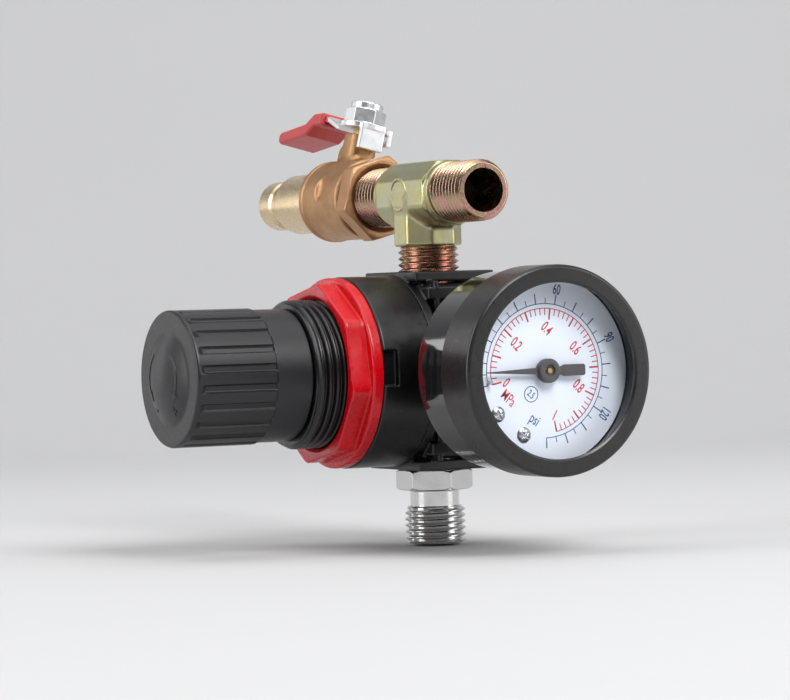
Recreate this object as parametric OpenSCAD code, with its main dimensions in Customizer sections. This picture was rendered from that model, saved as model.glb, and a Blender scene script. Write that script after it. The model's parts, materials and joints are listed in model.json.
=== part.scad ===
// Air pressure regulator set: diaphragm regulator with push-lock knob and panel nut,
// bourdon-tube gauge, male tee, mini ball valve and outlet nipple.
// Millimetres, +Z up. The origin is where the knob axis (X) crosses the port axis (Z).
// The knob is at -X, the gauge faces -Y, the tee stands on the +Z port.

/* [Regulator body] */
// Distance between the two port faces
port_span = 42.6; // [36:0.2:51.2]
// Outside diameter of the spring housing barrel
barrel_d = 41; // [38:0.5:49.5]
// Length of the spring housing barrel
barrel_length = 11.9; // [9.6:0.1:14.4]
// Width of the port flanges along the knob axis
flange_w = 19.2; // [17:0.2:23]
// Width of the port flanges across the knob axis
flange_d = 23; // [19:0.5:27.5]

/* [Panel thread and nut] */
// Outside diameter of the panel thread
panel_thread_d = 31.7; // [30:0.1:33.5]
// Pitch of the panel thread
panel_pitch = 1.75; // [1.5:0.25:2]
// Thread left bare between the nut and the knob
panel_bare = 6.4; // [5:0.2:8]
// Height of the panel nut with its flange
nut_height = 6.8; // [5.6:0.2:8.2]

/* [Knob] */
// Outside diameter of the knob
knob_d = 28.8; // [26:0.2:34.6]
// Length of the knob
knob_length = 26.8; // [22.2:0.2:32.2]
// Number of grip grooves
grip_grooves = 22; // [12:1:28]
// Travel of the knob from locked to free
lock_travel = 2.5; // [1.5:0.1:3]

/* [Gauge] */
// Outside diameter of the gauge bezel
gauge_d = 43.4; // [40:0.2:52]
// Depth of the gauge from bezel front to case back
gauge_depth = 23.1; // [21:0.1:27.7]
// Distance from the knob axis to the case back
gauge_standoff = 31.1; // [28:0.1:37]

/* [Tee and nipple] */
// Outside diameter of the quarter-inch pipe threads
pipe_d = 13.157; // [12.9:0.001:13.4]
// Pitch of the quarter-inch pipe threads
pipe_pitch = 1.337; // [1.2:0.001:1.5]
// Height of the tee run above the knob axis
run_height = 38; // [36:0.2:45.6]
// Distance from the tee centre to the end of each run thread
run_reach = 24.8; // [23:0.2:29.8]
// Across flats of the tee block
tee_af = 14; // [13.2:0.1:16.8]
// Across flats of the nipple hexagon
nipple_af = 14.5; // [13.6:0.1:17]
// Distance from the port face to the end of the nipple
nipple_length = 16.2; // [14:0.1:19.4]

/* [Ball valve] */
// Across flats of the valve hexagon
valve_af = 17; // [16:0.1:20]
// Distance from the valve mouth to the ball centre
valve_mouth = 15.8; // [14.4:0.1:18.9]
// Length of the valve tail beyond the ball centre
tail_length = 35.2; // [30:0.2:42]
// Turn of the valve past upright on its thread
valve_clock = 14; // [0:1:40]
// Reach of the lever from the stem axis
lever_length = 33; // [27:0.5:39.5]

/* [Hidden] */
$fn = 64;
eps = 0.01;
fit = 0.05;
run_fit = 0.06;
valley_w = 0.46;
valley_d = 0.5;

// regulator stations along X
seam_x = -10.5;
barrel_r = barrel_d / 2;
barrel_x = seam_x - barrel_length;
nut_x = barrel_x - nut_height;
collar_x = nut_x - panel_bare;
knob_gap = 0.2;
skirt_x = collar_x - knob_gap;
knob_x = skirt_x - knob_length;
knob_r = knob_d / 2;
knob_wall = 1.9;
knob_face = 2.5;
dome_r = 10;
dome_h = 2.3;
dome_curve_r = (dome_r * dome_r + dome_h * dome_h) / (2 * dome_h);
knob_bore_r = knob_r - knob_wall;
hub_r = 6;
neck_r = knob_bore_r - 0.5;
neck_wall = 1.8;
groove_w = 1.75;
groove_d = 0.6;
groove_from = 1.2;
land_l = knob_length * 0.68;
skirt_step = 0.35;
rim_chamfer = 0.7;
hub_gap = 1.5;
drive_fit = 0.15;
neck_bore_r = neck_r - neck_wall;
neck_length = 9.4;
neck_x = collar_x - neck_length;
end_wall = 1.5;
panel_r = panel_thread_d / 2;
bonnet_floor = 2;
notch = [3.4, 1.6, 7.4];
notch_z = -2.6;
dog = [2, 1.3, 1.6];
dog_step = 30;
vent_r = 0.8;
vent_from = 6;

// diaphragm stack
diaphragm_t = 1.4;
diaphragm_r = barrel_r - 2.5;
chamber_r = diaphragm_r - 2.9;
plate_r = chamber_r - 4.5;
plate_t = 1.5;
plate_x = seam_x - diaphragm_t - plate_t;
plate_boss_r = 4;
plate_boss = 2.6;
rivet_r = 2;
relief_r = 7;
relief_t = 1.2;
relief_bore_r = 0.9;
lift = 1.2;

// adjusting screw and spring
coil_wire = 1.1;
coil_r = neck_bore_r - 2.8;
drive_af = 5.6;
screw_r = 2.9;
shank_r = 3;
collar_r = 5;
collar_t = 1.5;
collar_in = neck_x + end_wall + 0.15;
screw_end = -25;
spring_nut_r = neck_bore_r - 0.3;
spring_nut_t = 3;
spring_nut_hub = 3;
spring_nut_hub_r = coil_r - coil_wire - 0.9;
spring_nut_x = collar_in + collar_t + 1.2;
key_w = 3;
key_h = 1.2;
key_gap = 0.3;
spring_from = spring_nut_x + spring_nut_t + 0.1;
spring_to = plate_x - 0.1;

// body
port_z = port_span / 2;
flange_t = 2.2;
waist_y = 15;
waist_x0 = -8.4;
rear_r = 13;
rear_x = 14;
boss_y = 18.5;
boss_r = 9;
pipe_r = pipe_d / 2;
port_depth = 10;
gauge_port_r = 4.864;
gauge_pitch = 0.907;
gauge_port_in = 10;
throat_r = 6;
seat_x = -1.2;
seat_face = 1.8;
seat_lip = 0.5;
orifice_r = 2.6;
inlet_r = 6.5;
passage_r = 2.4;
passage_x = 4;
flange_x = flange_w / 2;
chamber_depth = 3;
passage_from = 4;
lip_w = 0.8;
pocket_d = 3.2;
pocket_z = 10.8;
pocket_edge = 2.2;
pocket_roof = 1.2;
bleed_r = 1.2;
bleed_x = 3.5;

// poppet and bottom cap
stem_tip = seam_x + relief_t + 0.05;
stem_r = 1.2;
seal_r = 4.2;
seal_t = 1.5;
seal_x = seat_face + seat_lip + 0.05;
head_r = 4.6;
head_t = 1.6;
tail_r = 1.9;
tail_x = 16.5;
cap_x = 9.5;
cap_r = 7.9;
cap_bore_r = 8;
cap_flange_r = 12;
cap_flange_x = 20;
cap_pocket_r = 5.2;
cap_pocket_x = 15;
oring_wire = 0.8;
oring_x = 11.6;
poppet_coil_r = 3.3;
poppet_wire = 0.4;

// panel nut
nut_flange_r = barrel_r - 0.15;
nut_flange_t = 2.6;
nut_corner_r = nut_flange_r - 0.75;
nut_clock = 33.7;
nut_chamfer = 0.3;

// gauge stations along Y
bezel_r = gauge_d / 2;
gauge_back = -gauge_standoff;
gauge_front = gauge_back - gauge_depth;
case_r = bezel_r - 0.9;
case_wall = 1;
case_bore_r = case_r - case_wall;
bezel_depth = 11.2;
lip_t = 0.9;
window_r = bezel_r - 3.7;
lens_t = 1.5;
lens_y = gauge_front + lip_t;
case_front = lens_y + lens_t + 0.1;
dial_y = gauge_front + 6.2;
dial_t = 0.5;
dial_r = case_bore_r - 0.2;
pointer_y = dial_y - 1.2;
pointer_t = 0.35;
pointer_hub_r = 2.5;
arbor_r = 0.55;
pointer_reach = window_r - 3.4;
screw_spots = [[-11.3, -8.55], [-5.35, -13]];
dial_screw_r = 1.65;
stop_pin = [-13.4, -2];
floor_y = gauge_back - case_wall - 0.2;
socket_in = floor_y - 3.6;
frame_y = socket_in - 0.1;
frame_t = 0.8;
frame_top = dial_y + dial_t + 1.6;
post_reach = 6.6;
pinion_r = 1.25;
sector_ratio = 8;
sector_r = pinion_r * sector_ratio + 0.1;
sector_pivot = pinion_r * (sector_ratio + 1) + 0.25;
sector_dir = 50;
sector_y = frame_y - frame_t - 1.6;
sector_t = 0.6;
sector_arbor_r = 0.6;
tail_arm = 4.4;
tail_angle = 18;
link_pin_r = 0.4;
link_t = 0.5;
tube_r = 14.4;
tube_w = 4.6;
tube_t = 1.8;
tube_start = 235;
tube_sweep = 235;
tube_y = floor_y - 0.8;
tube_front = tube_y - tube_w;
link_y = sector_y - sector_t - 0.15;
socket_hex_af = 12;
socket_hex_h = 5.4;
socket_bore_r = 1.2;
socket_r = 5;
socket_arm_w = 4.8;
socket_arm_inset = 0.3;

// tee, valve and nipple
run_collar_r = 6.8;
run_block = 10.6;
run_collar = 12.3;
run_bore_r = 4.7;
branch_block = 11.2;
branch_step = 0.3;
branch_end = port_z - port_depth + 0.6;
mark_r = 3.6;
ball_y = run_reach - 4.3 + valve_mouth;
ball_r = 5.2;
ball_bore_r = 2.7;
mouth_depth = valve_mouth - 5.4;
barrel_valve_r = valve_af / 2 + 0.4;
valve_hex = 4.8;
rim_r = barrel_valve_r + 0.3;
rim_from = 6;
valve_end = 7.4;
cavity_r = 6.2;
tail_neck_r = 6;
tail_body_r = 6.8;
tail_groove_r = 5.2;
tail_ring_r = 5.7;
tail_bore_r = 3;
tower_top = 15;
tower_w = 7;
tower_d = 6.5;
tower_round_r = 3.8;
fin_t = 2;
fin_side = [[0, 7], [6, 7], [8.6, 7.4], [7.4, 12.6], [5.2, 14.4], [0, 14.4]];
gland_r = 3;
gland_h = 1.8;
gland_u = 9.4;
collar_top = 6.9;
valve_stem_r = 2.2;
stem_collar_r = 2.9;
lever_t = 1.3;
lever_u = 16.2;
lever_rise = 1.9;
lever_w = 7.5;
tab_w = 6.1;
tab_y = 4.1;
tab_drop = 4.7;
disc_r = 5.6;
ear_x = 5;
ear_w = 5.6;
ear_drop = 2.6;
stem_flat = 1.5;
sleeve_from = 12.5;
sleeve_w = 9.6;
sleeve_wall = 0.8;
lock_nut_af = 8;
lock_nut_h = 3.4;
lock_collar_r = 3.7;
lock_collar_h = 1.6;
hex_h = 4.4;
nipple_neck_r = 5.3;
nipple_neck = 3.5;
nipple_bore_r = 3.5;
nipple_clock = 26.2;

black = [0.12, 0.12, 0.13];
grey = [0.3, 0.29, 0.3];
red = [0.75, 0.08, 0.1];
brass = [0.78, 0.6, 0.35];
steel = [0.75, 0.76, 0.78];
zinc = [0.72, 0.72, 0.5];
rubber = [0.2, 0.2, 0.22];
white = [0.93, 0.93, 0.9];

// Places children with their +Z along +X from station x
module on_x(x) {
    translate([x, 0, 0]) rotate([0, 90, 0]) children();
}

// Places children with their +Z along -Y from station y
module on_front(y) {
    translate([0, y, 0]) rotate([90, 0, 0]) children();
}

// Places children with their +Z along +Y from station y
module on_back(y) {
    translate([0, y, 0]) rotate([-90, 0, 0]) children();
}

// Places children at the ball centre: +Y along the run, +Z along the valve stem
module on_valve() {
    translate([0, ball_y, run_height]) rotate([0, valve_clock, 0]) children();
}

// Ring between two radii
module ring(r_out, r_in, h) {
    difference() {
        cylinder(h = h, r = r_out);
        translate([0, 0, -1]) cylinder(h = h + 2, r = r_in);
    }
}

// Regular prism with n sides, given across flats
module prism(n, af, h) {
    rotate([0, 0, 180 / n]) cylinder(h = h, r = af / 2 / cos(180 / n), $fn = n);
}

// Threaded rod drawn as parallel ridges: crest flats at r with narrow valleys between
module threaded_rod(r, pitch, h) {
    turns = floor(h / pitch);
    start = (h - turns * pitch) / 2;
    ridges = [for (i = [0 : turns - 1], k = [0 : 2])
        [k == 2 ? r - valley_d : r,
            start + pitch * (i + (k > 0 ? 1 : 0)) + [valley_w / 2, -valley_w / 2, 0][k]]];
    rotate_extrude()
        polygon(concat([[0, 0], [r - valley_d, 0], [r - valley_d, start]], ridges,
            [[r - valley_d, h], [0, h]]));
}

// Coil spring of round wire along +Z, with its ends ground flat by the box cut
module coil(r, wire, h, turns, steps, sides) {
    n = turns * steps;
    rise = (h - 2 * wire) / n;
    points = [for (i = [0 : n], j = [0 : sides - 1])
        let (a = 360 * i / steps, b = 360 * j / sides, q = r + wire * cos(b))
        [q * cos(a), q * sin(a), wire + rise * i + wire * sin(b)]];
    walls = [for (i = [0 : n - 1], j = [0 : sides - 1])
        let (a = i * sides, k = (j + 1) % sides)
        [a + j, a + k, a + sides + k, a + sides + j]];
    ends = [[for (j = [sides - 1 : -1 : 0]) j], [for (j = [0 : sides - 1]) n * sides + j]];
    polyhedron(points = points, faces = concat(walls, ends));
}

// ---- regulator ----

module body() {
    color(black) difference() {
        union() {
            on_x(seam_x) cylinder(h = waist_x0 - seam_x, r = barrel_r);
            translate([waist_x0 - eps, -waist_y, -port_z + flange_t])
                cube([flange_x - waist_x0 + eps, 2 * waist_y, 2 * (port_z - flange_t)]);
            for (s = [0, 1]) mirror([0, 0, s])
                translate([-flange_x, -flange_d / 2, port_z - flange_t - eps])
                    cube([flange_w, flange_d, flange_t + eps]);
            for (s = [0, 1]) mirror([0, s, 0])
                on_back(waist_y - 1) cylinder(h = boss_y - waist_y + 1, r = boss_r);
            on_x(flange_x - 1) cylinder(h = rear_x - flange_x + 1, r = rear_r);
        }
        body_pockets();
        on_x(seam_x - 1) cylinder(h = 1 + chamber_depth, r = chamber_r);
        on_x(seam_x) cylinder(h = seat_x - seam_x, r = throat_r);
        on_x(seat_x - 1) cylinder(h = seat_face - seat_x + 2, r = orifice_r);
        on_x(seat_face) difference() {
            cylinder(h = cap_x - seat_face, r = inlet_r);
            translate([0, 0, -1]) ring(orifice_r + lip_w, orifice_r, 1 + seat_lip);
        }
        on_x(cap_x - 1) cylinder(h = rear_x - cap_x + 2, r = cap_bore_r);
        for (s = [0, 1]) mirror([0, 0, s])
            translate([0, 0, port_z - port_depth])
                cylinder(h = port_depth + 1, r = pipe_r + fit);
        translate([passage_x, 0, passage_from])
            cylinder(h = port_z - port_depth - passage_from + 1, r = passage_r);
        translate([-passage_x, 0, -port_z + port_depth - 1])
            cylinder(h = port_z - port_depth - passage_from + 1, r = passage_r);
        for (s = [0, 1]) mirror([0, s, 0])
            on_back(gauge_port_in) cylinder(h = boss_y, r = gauge_port_r + fit);
        translate([-bleed_x, 0, 0]) on_front(0) cylinder(h = gauge_port_in + 1, r = bleed_r);
    }
}

// Relief pockets moulded into the four long corners of the waist
module body_pockets() {
    pocket_l = flange_x - waist_x0 - 2 * pocket_edge;
    pocket_h = port_z - flange_t - pocket_z - pocket_roof;
    for (s = [0, 1], t = [0, 1]) mirror([0, s, 0]) mirror([0, 0, t])
        translate([waist_x0 + pocket_edge, waist_y - pocket_d, pocket_z])
            cube([pocket_l, pocket_d + 1, pocket_h]);
}

module bonnet() {
    color(black) difference() {
        union() {
            on_x(barrel_x) cylinder(h = barrel_length, r = barrel_r);
            on_x(collar_x) threaded_rod(panel_r, panel_pitch, barrel_x - collar_x + 1);
            on_x(neck_x) cylinder(h = neck_length + 1, r = neck_r);
            for (a = [0 : dog_step : 360 - dog_step]) rotate([a, 0, 0])
                translate([neck_x, neck_r - 1, -dog[2] / 2]) cube(dog);
        }
        on_x(seam_x - diaphragm_t) cylinder(h = diaphragm_t + 1, r = diaphragm_r + fit);
        on_x(barrel_x + bonnet_floor) cylinder(h = barrel_length, r = chamber_r);
        on_x(neck_x + end_wall) cylinder(h = -neck_x, r = neck_bore_r);
        on_x(neck_x - 1) cylinder(h = end_wall + 2, r = shank_r + run_fit);
        for (s = [0, 1]) mirror([0, s, 0])
            translate([neck_x + end_wall, neck_bore_r - 1, -key_w / 2])
                cube([barrel_x + bonnet_floor - neck_x - end_wall + eps, 1 + key_h, key_w]);
        translate([barrel_x - 1, -barrel_r - 1, notch_z]) cube([1 + notch[0], 1 + notch[1], notch[2]]);
        vent_hole();
    }
}

// Bleed hole that keeps the spring chamber at room pressure
module vent_hole() {
    translate([barrel_x + vent_from, 0, 0]) on_back(0) cylinder(h = barrel_r + 1, r = vent_r);
}

module panel_nut() {
    flat_h = nut_height - nut_flange_t;
    color(red) difference() {
        union() {
            on_x(nut_x) intersection() {
                rotate([0, 0, 90 - nut_clock]) cylinder(h = flat_h + eps, r = nut_corner_r, $fn = 8);
                cylinder(h = flat_h + 1, r1 = nut_corner_r - nut_chamfer, r2 = nut_corner_r + flat_h);
            }
            on_x(nut_x + flat_h) cylinder(h = nut_flange_t, r = nut_flange_r);
        }
        on_x(nut_x - 1) cylinder(h = nut_height + 2, r = panel_r + fit);
    }
}

module knob() {
    skirt_r = knob_r - skirt_step;
    hub_l = knob_length - neck_length - hub_gap;
    color(grey) difference() {
        union() {
            on_x(knob_x) rotate_extrude() polygon([
                [0, 0], [knob_r - rim_chamfer, 0], [knob_r, rim_chamfer],
                [knob_r, land_l], [skirt_r, land_l + skirt_step], [skirt_r, knob_length],
                [knob_bore_r, knob_length], [knob_bore_r, knob_face],
                [hub_r, knob_face], [hub_r, hub_l], [0, hub_l]]);
            intersection() {
                translate([knob_x - dome_h + dome_curve_r, 0, 0]) sphere(r = dome_curve_r);
                on_x(knob_x - dome_h - 1) cylinder(h = dome_h + 1 + eps, r = dome_r);
            }
        }
        on_x(knob_x + knob_face) rotate([0, 0, 30])
            cylinder(h = knob_length, r = (drive_af / 2 + drive_fit) / cos(30), $fn = 6);
        for (i = [0 : grip_grooves - 1]) rotate([360 * i / grip_grooves, 0, 0])
            translate([knob_x + groove_from, knob_r - groove_d, -groove_w / 2])
                cube([land_l - 1, 1, groove_w]);
    }
}

module adjusting_screw() {
    neck_gap = 0.6;
    head_l = knob_length - neck_length - knob_face - 2;
    color(steel) {
        on_x(neck_x - head_l) rotate([0, 0, 30])
            cylinder(h = head_l - neck_gap, r = drive_af / 2 / cos(30), $fn = 6);
        on_x(neck_x - neck_gap - eps)
            cylinder(h = collar_in - neck_x + neck_gap + 2 * eps, r = shank_r);
        on_x(collar_in) cylinder(h = collar_t, r = collar_r);
        on_x(collar_in + collar_t - eps)
            cylinder(h = screw_end - collar_in - collar_t, r = screw_r);
    }
}

module spring_nut() {
    key_l = spring_nut_t;
    color(brass) difference() {
        union() {
            on_x(spring_nut_x) cylinder(h = spring_nut_t, r = spring_nut_r);
            on_x(spring_nut_x + spring_nut_t - eps) cylinder(h = spring_nut_hub, r = spring_nut_hub_r);
            for (s = [0, 1]) mirror([0, s, 0])
                translate([spring_nut_x, 0, -key_w / 2 + key_gap])
                    cube([key_l, neck_bore_r + key_h - key_gap, key_w - 2 * key_gap]);
        }
        on_x(spring_nut_x - 1) cylinder(h = spring_nut_t + spring_nut_hub + 2, r = screw_r + run_fit);
    }
}

module main_spring() {
    color(steel) on_x(spring_from) coil(coil_r, coil_wire, spring_to - spring_from, 5, 20, 8);
}

module pressure_plate() {
    color(brass) difference() {
        union() {
            on_x(plate_x) cylinder(h = plate_t, r = plate_r);
            on_x(plate_x - plate_boss) cylinder(h = plate_boss + eps, r = plate_boss_r);
        }
        on_x(plate_x - plate_boss - 1) cylinder(h = plate_boss + plate_t + 2, r = rivet_r + fit);
    }
}

module diaphragm() {
    color(rubber) on_x(seam_x - diaphragm_t) ring(diaphragm_r, rivet_r + fit, diaphragm_t);
}

module relief_seat() {
    color(brass) difference() {
        union() {
            on_x(seam_x) cylinder(h = relief_t, r = relief_r - 1.4);
            on_x(plate_x) cylinder(h = seam_x - plate_x + eps, r = rivet_r);
        }
        on_x(plate_x - 1) cylinder(h = seam_x - plate_x + relief_t + 2, r = relief_bore_r);
    }
}

module poppet() {
    color(brass) {
        on_x(stem_tip) cylinder(h = seal_x - stem_tip + seal_t + eps, r = stem_r);
        on_x(seal_x + seal_t) cylinder(h = head_t, r = head_r);
        on_x(seal_x + seal_t + head_t - eps)
            cylinder(h = tail_x - seal_x - seal_t - head_t, r = tail_r);
    }
}

module poppet_seal() {
    color(rubber) on_x(seal_x) ring(seal_r, stem_r + fit, seal_t);
}

module poppet_spring() {
    from = seal_x + seal_t + head_t + 0.1;
    color(steel) on_x(from) coil(poppet_coil_r, poppet_wire, cap_pocket_x - 0.1 - from, 6, 16, 6);
}

module bottom_cap() {
    slot_w = 2.4;
    slot_d = 1.2;
    edge = 1;
    flange_l = cap_flange_x - rear_x - 0.1;
    color(black) difference() {
        union() {
            on_x(cap_x) cylinder(h = rear_x - cap_x + 0.3, r = cap_r);
            on_x(rear_x + 0.1) rotate_extrude() polygon([
                [0, 0], [cap_flange_r, 0], [cap_flange_r, flange_l - edge],
                [cap_flange_r - edge, flange_l], [0, flange_l]]);
        }
        on_x(cap_x - 1) cylinder(h = cap_pocket_x - cap_x + 1, r = cap_pocket_r);
        on_x(cap_x) cylinder(h = cap_flange_x - cap_x - 1.6, r = tail_r + run_fit);
        on_x(oring_x) rotate_extrude()
            translate([cap_r - oring_wire, 0]) square([2, 2 * oring_wire + 0.2], center = true);
        translate([cap_flange_x - slot_d, -cap_flange_r - 1, -slot_w / 2])
            cube([2, 2 * cap_flange_r + 2, slot_w]);
    }
}

module cap_oring() {
    color(rubber) on_x(oring_x) rotate_extrude()
        translate([cap_bore_r - oring_wire - fit, 0]) circle(r = oring_wire, $fn = 24);
}

module rear_port_plug() {
    key_af = 5;
    key_d = 4;
    color(steel) difference() {
        on_back(gauge_port_in + 0.5)
            threaded_rod(gauge_port_r, gauge_pitch, boss_y - gauge_port_in - 0.7);
        on_back(boss_y - key_d) prism(6, key_af, key_d + 1);
    }
}

// ---- gauge ----

module gauge_socket() {
    thread_l = gauge_standoff - boss_y - 0.5;
    hex_from = -boss_y - 0.3;
    color(brass) difference() {
        union() {
            on_front(-gauge_port_in - 0.5)
                threaded_rod(gauge_port_r, gauge_pitch, boss_y - gauge_port_in - 0.2);
            on_front(hex_from + eps) prism(6, socket_hex_af, socket_hex_h);
            on_front(hex_from - 5) cylinder(h = thread_l - 5 + 1.5, r = socket_r);
            on_front(floor_y) cylinder(h = floor_y - socket_in, r = socket_r + 1);
            rotate([0, -tube_start, 0]) translate([2, socket_in + socket_arm_inset, -socket_arm_w / 2])
                cube([tube_r - tube_t / 2 - 0.05 - 2, floor_y - socket_in - 2 * socket_arm_inset, socket_arm_w]);
        }
        on_front(-gauge_port_in + 1) cylinder(h = gauge_standoff - gauge_port_in, r = socket_bore_r);
    }
}

module gauge_case() {
    color(black) difference() {
        on_front(gauge_back) cylinder(h = gauge_back - case_front, r = case_r);
        on_front(gauge_back - case_wall) cylinder(h = gauge_depth, r = case_bore_r);
        on_front(gauge_back + 1) cylinder(h = case_wall + 2, r = socket_r + fit);
    }
}

module gauge_bezel() {
    roll = 0.8;
    color(grey) on_front(gauge_front) mirror([0, 0, 1]) rotate_extrude() polygon([
        [window_r, 0.3], [window_r + 0.5, 0], [bezel_r - roll, 0], [bezel_r, roll],
        [bezel_r, bezel_depth - 0.4], [bezel_r - 0.3, bezel_depth], [case_r + fit, bezel_depth],
        [case_r + fit, lip_t], [window_r, lip_t]]);
}

module gauge_lens() {
    color([0.8, 0.9, 0.95, 0.4]) on_front(lens_y + lens_t) cylinder(h = lens_t, r = case_r - 0.3);
}

module gauge_dial() {
    color(white) difference() {
        on_front(dial_y + dial_t) cylinder(h = dial_t, r = dial_r);
        on_front(dial_y + dial_t + 1) cylinder(h = dial_t + 2, r = 1.2);
        for (p = screw_spots) translate([p[0], 0, p[1]])
            on_front(dial_y + dial_t + 1) cylinder(h = dial_t + 2, r = 0.85);
        translate([stop_pin[0], 0, stop_pin[1]])
            on_front(dial_y + dial_t + 1) cylinder(h = dial_t + 2, r = 0.45);
    }
}

module dial_screws() {
    for (p = screw_spots) translate([p[0], 0, p[1]]) color(steel) difference() {
        union() {
            on_front(dial_y - 0.02) cylinder(h = 0.7, r = dial_screw_r);
            on_front(dial_y + dial_t + 1.5) cylinder(h = dial_t + 1.6, r = 0.8);
        }
        for (a = [0, 90]) on_front(dial_y - 0.3) rotate([0, 0, a])
            translate([-1, -0.2, 0]) cube([2, 0.4, 1]);
    }
}

module stop_pin() {
    color(steel) translate([stop_pin[0], 0, stop_pin[1]])
        on_front(dial_y + dial_t) cylinder(h = dial_t + 1.4, r = 0.4);
}

module gauge_pointer() {
    color(grey) difference() {
        union() {
            on_front(pointer_y) linear_extrude(height = pointer_t) polygon([
                [-pointer_reach, 0.12], [-pointer_reach, -0.12], [-1, -0.75], [2, -0.6],
                [3.4, -1.2], [8.8, -1.2], [8.8, 1.2], [3.4, 1.2], [2, 0.6], [-1, 0.75]]);
            on_front(pointer_y + 0.6) cylinder(h = 1.6, r = pointer_hub_r);
        }
        on_front(pointer_y + 1) cylinder(h = 3, r = arbor_r + fit);
    }
}

module pointer_arbor() {
    color(brass) {
        on_front(frame_y - 0.1) cylinder(h = frame_y - 0.1 - pointer_y + 0.9, r = arbor_r);
        on_front(sector_y + 0.9) cylinder(h = sector_t + 1.8, r = pinion_r);
    }
}

// Outline of a flat arm with a round end, from the centre outwards
module arm_outline(angle, reach, w, r) {
    rotate([0, 0, angle]) {
        translate([0, -w / 2]) square([reach, w]);
        translate([reach, 0]) circle(r = r);
    }
}

// Outline of a movement plate: hub, sector pivot arm and the arm of the main post
module plate_outline() {
    circle(r = 5.4);
    arm_outline(sector_dir, sector_pivot, 3.4, 2);
    arm_outline(sector_dir + 180, post_reach, 3.4, 1.7);
}

// Post between the movement plates at an angle and distance from the centre
module frame_post(angle, reach, r) {
    rotate([0, -angle, 0]) translate([reach, 0, 0]) on_front(frame_y - frame_t / 2)
        cylinder(h = frame_y - frame_top - frame_t, r = r);
}

module movement_frame() {
    span = frame_y - frame_top;
    foot = frame_top + frame_t - dial_y - dial_t;
    color(brass) difference() {
        union() {
            on_front(frame_y) linear_extrude(height = frame_t) plate_outline();
            on_front(frame_top + frame_t) linear_extrude(height = frame_t) union() {
                plate_outline();
                for (p = screw_spots) arm_outline(atan2(p[1], p[0]), norm(p), 2.6, 1.5);
            }
            frame_post(sector_dir + 180, post_reach, 1.3);
            frame_post(sector_dir - 90, 4.4, 0.9);
            for (p = screw_spots) translate([p[0], 0, p[1]]) on_front(frame_top + frame_t / 2)
                cylinder(h = foot - frame_t / 2, r = 1.4);
        }
        on_front(frame_y + 1) cylinder(h = span + 3, r = arbor_r + run_fit);
        rotate([0, -sector_dir, 0]) translate([sector_pivot, 0, 0])
            on_front(frame_y + 1) cylinder(h = span + 3, r = sector_arbor_r + run_fit);
        for (p = screw_spots) translate([p[0], 0, p[1]])
            on_front(frame_y) cylinder(h = span + 9, r = 0.8 + fit);
    }
}

module sector_gear() {
    arc = [for (a = [180 - 38 : 3 : 180 + 4]) sector_r * [cos(a), sin(a)]];
    color(brass) rotate([0, -sector_dir, 0]) translate([sector_pivot, 0, 0]) difference() {
        union() {
            on_front(frame_y - 0.1) cylinder(h = post_length() - 0.2, r = sector_arbor_r);
            on_front(sector_y) linear_extrude(height = sector_t) union() {
                circle(r = 1.6);
                polygon(concat([[0, 1.4]], arc, [[0, -1.4]]));
                rotate([0, 0, tail_angle]) {
                    translate([0, -0.9]) square([tail_arm, 1.8]);
                    translate([tail_arm, 0]) circle(r = 1.3);
                }
            }
        }
        translate([tail_arm * cos(tail_angle), 0, tail_arm * sin(tail_angle)])
            on_front(sector_y + 1) cylinder(h = sector_t + 2, r = link_pin_r + 0.3);
    }
}

// Distance between the two movement plates' outer faces
function post_length() = frame_y - frame_top;

module sector_link() {
    from = link_tail();
    to = link_tip();
    run = norm(to - from);
    color(brass) rotate([0, -atan2(to[1] - from[1], to[0] - from[0]), 0])
        translate(unturned(from)) {
            on_front(link_y) linear_extrude(height = link_t) union() {
                for (x = [0, run]) translate([x, 0]) circle(r = 1);
                translate([0, -0.6]) square([run, 1.2]);
            }
            on_front(sector_y + 0.3) cylinder(h = sector_y + 0.3 - link_y + eps, r = link_pin_r);
            translate([run, 0, 0]) on_front(tube_front + 0.6)
                cylinder(h = tube_front + 0.6 - link_y + eps, r = link_pin_r);
        }
}

// Pins of the link in the dial plane: on the sector's tail and at the tube's tip
function link_tail() = sector_pivot * [cos(sector_dir), sin(sector_dir)]
    + tail_arm * [cos(sector_dir + tail_angle), sin(sector_dir + tail_angle)];
function link_tip() = tube_r * [cos(tube_start + tube_sweep), sin(tube_start + tube_sweep)];

// The first pin in the frame of the turned link
function unturned(p) = let (a = atan2(link_tip()[1] - p[1], link_tip()[0] - p[0]))
    [p[0] * cos(a) + p[1] * sin(a), 0, p[1] * cos(a) - p[0] * sin(a)];

module bourdon_tube() {
    color(brass) difference() {
        union() {
            rotate([0, -tube_start, 0]) on_front(tube_y) rotate_extrude(angle = tube_sweep)
                translate([tube_r - tube_t / 2, 0]) square([tube_t, tube_w]);
            translate([link_tip()[0], 0, link_tip()[1]])
                on_front(tube_y - 0.3) cylinder(h = tube_y - link_y - 0.4, r = 1.2);
        }
        translate([link_tip()[0], 0, link_tip()[1]])
            on_front(tube_front + 1) cylinder(h = 9, r = link_pin_r + 0.1);
    }
}

// ---- tee, ball valve and nipple ----

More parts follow.
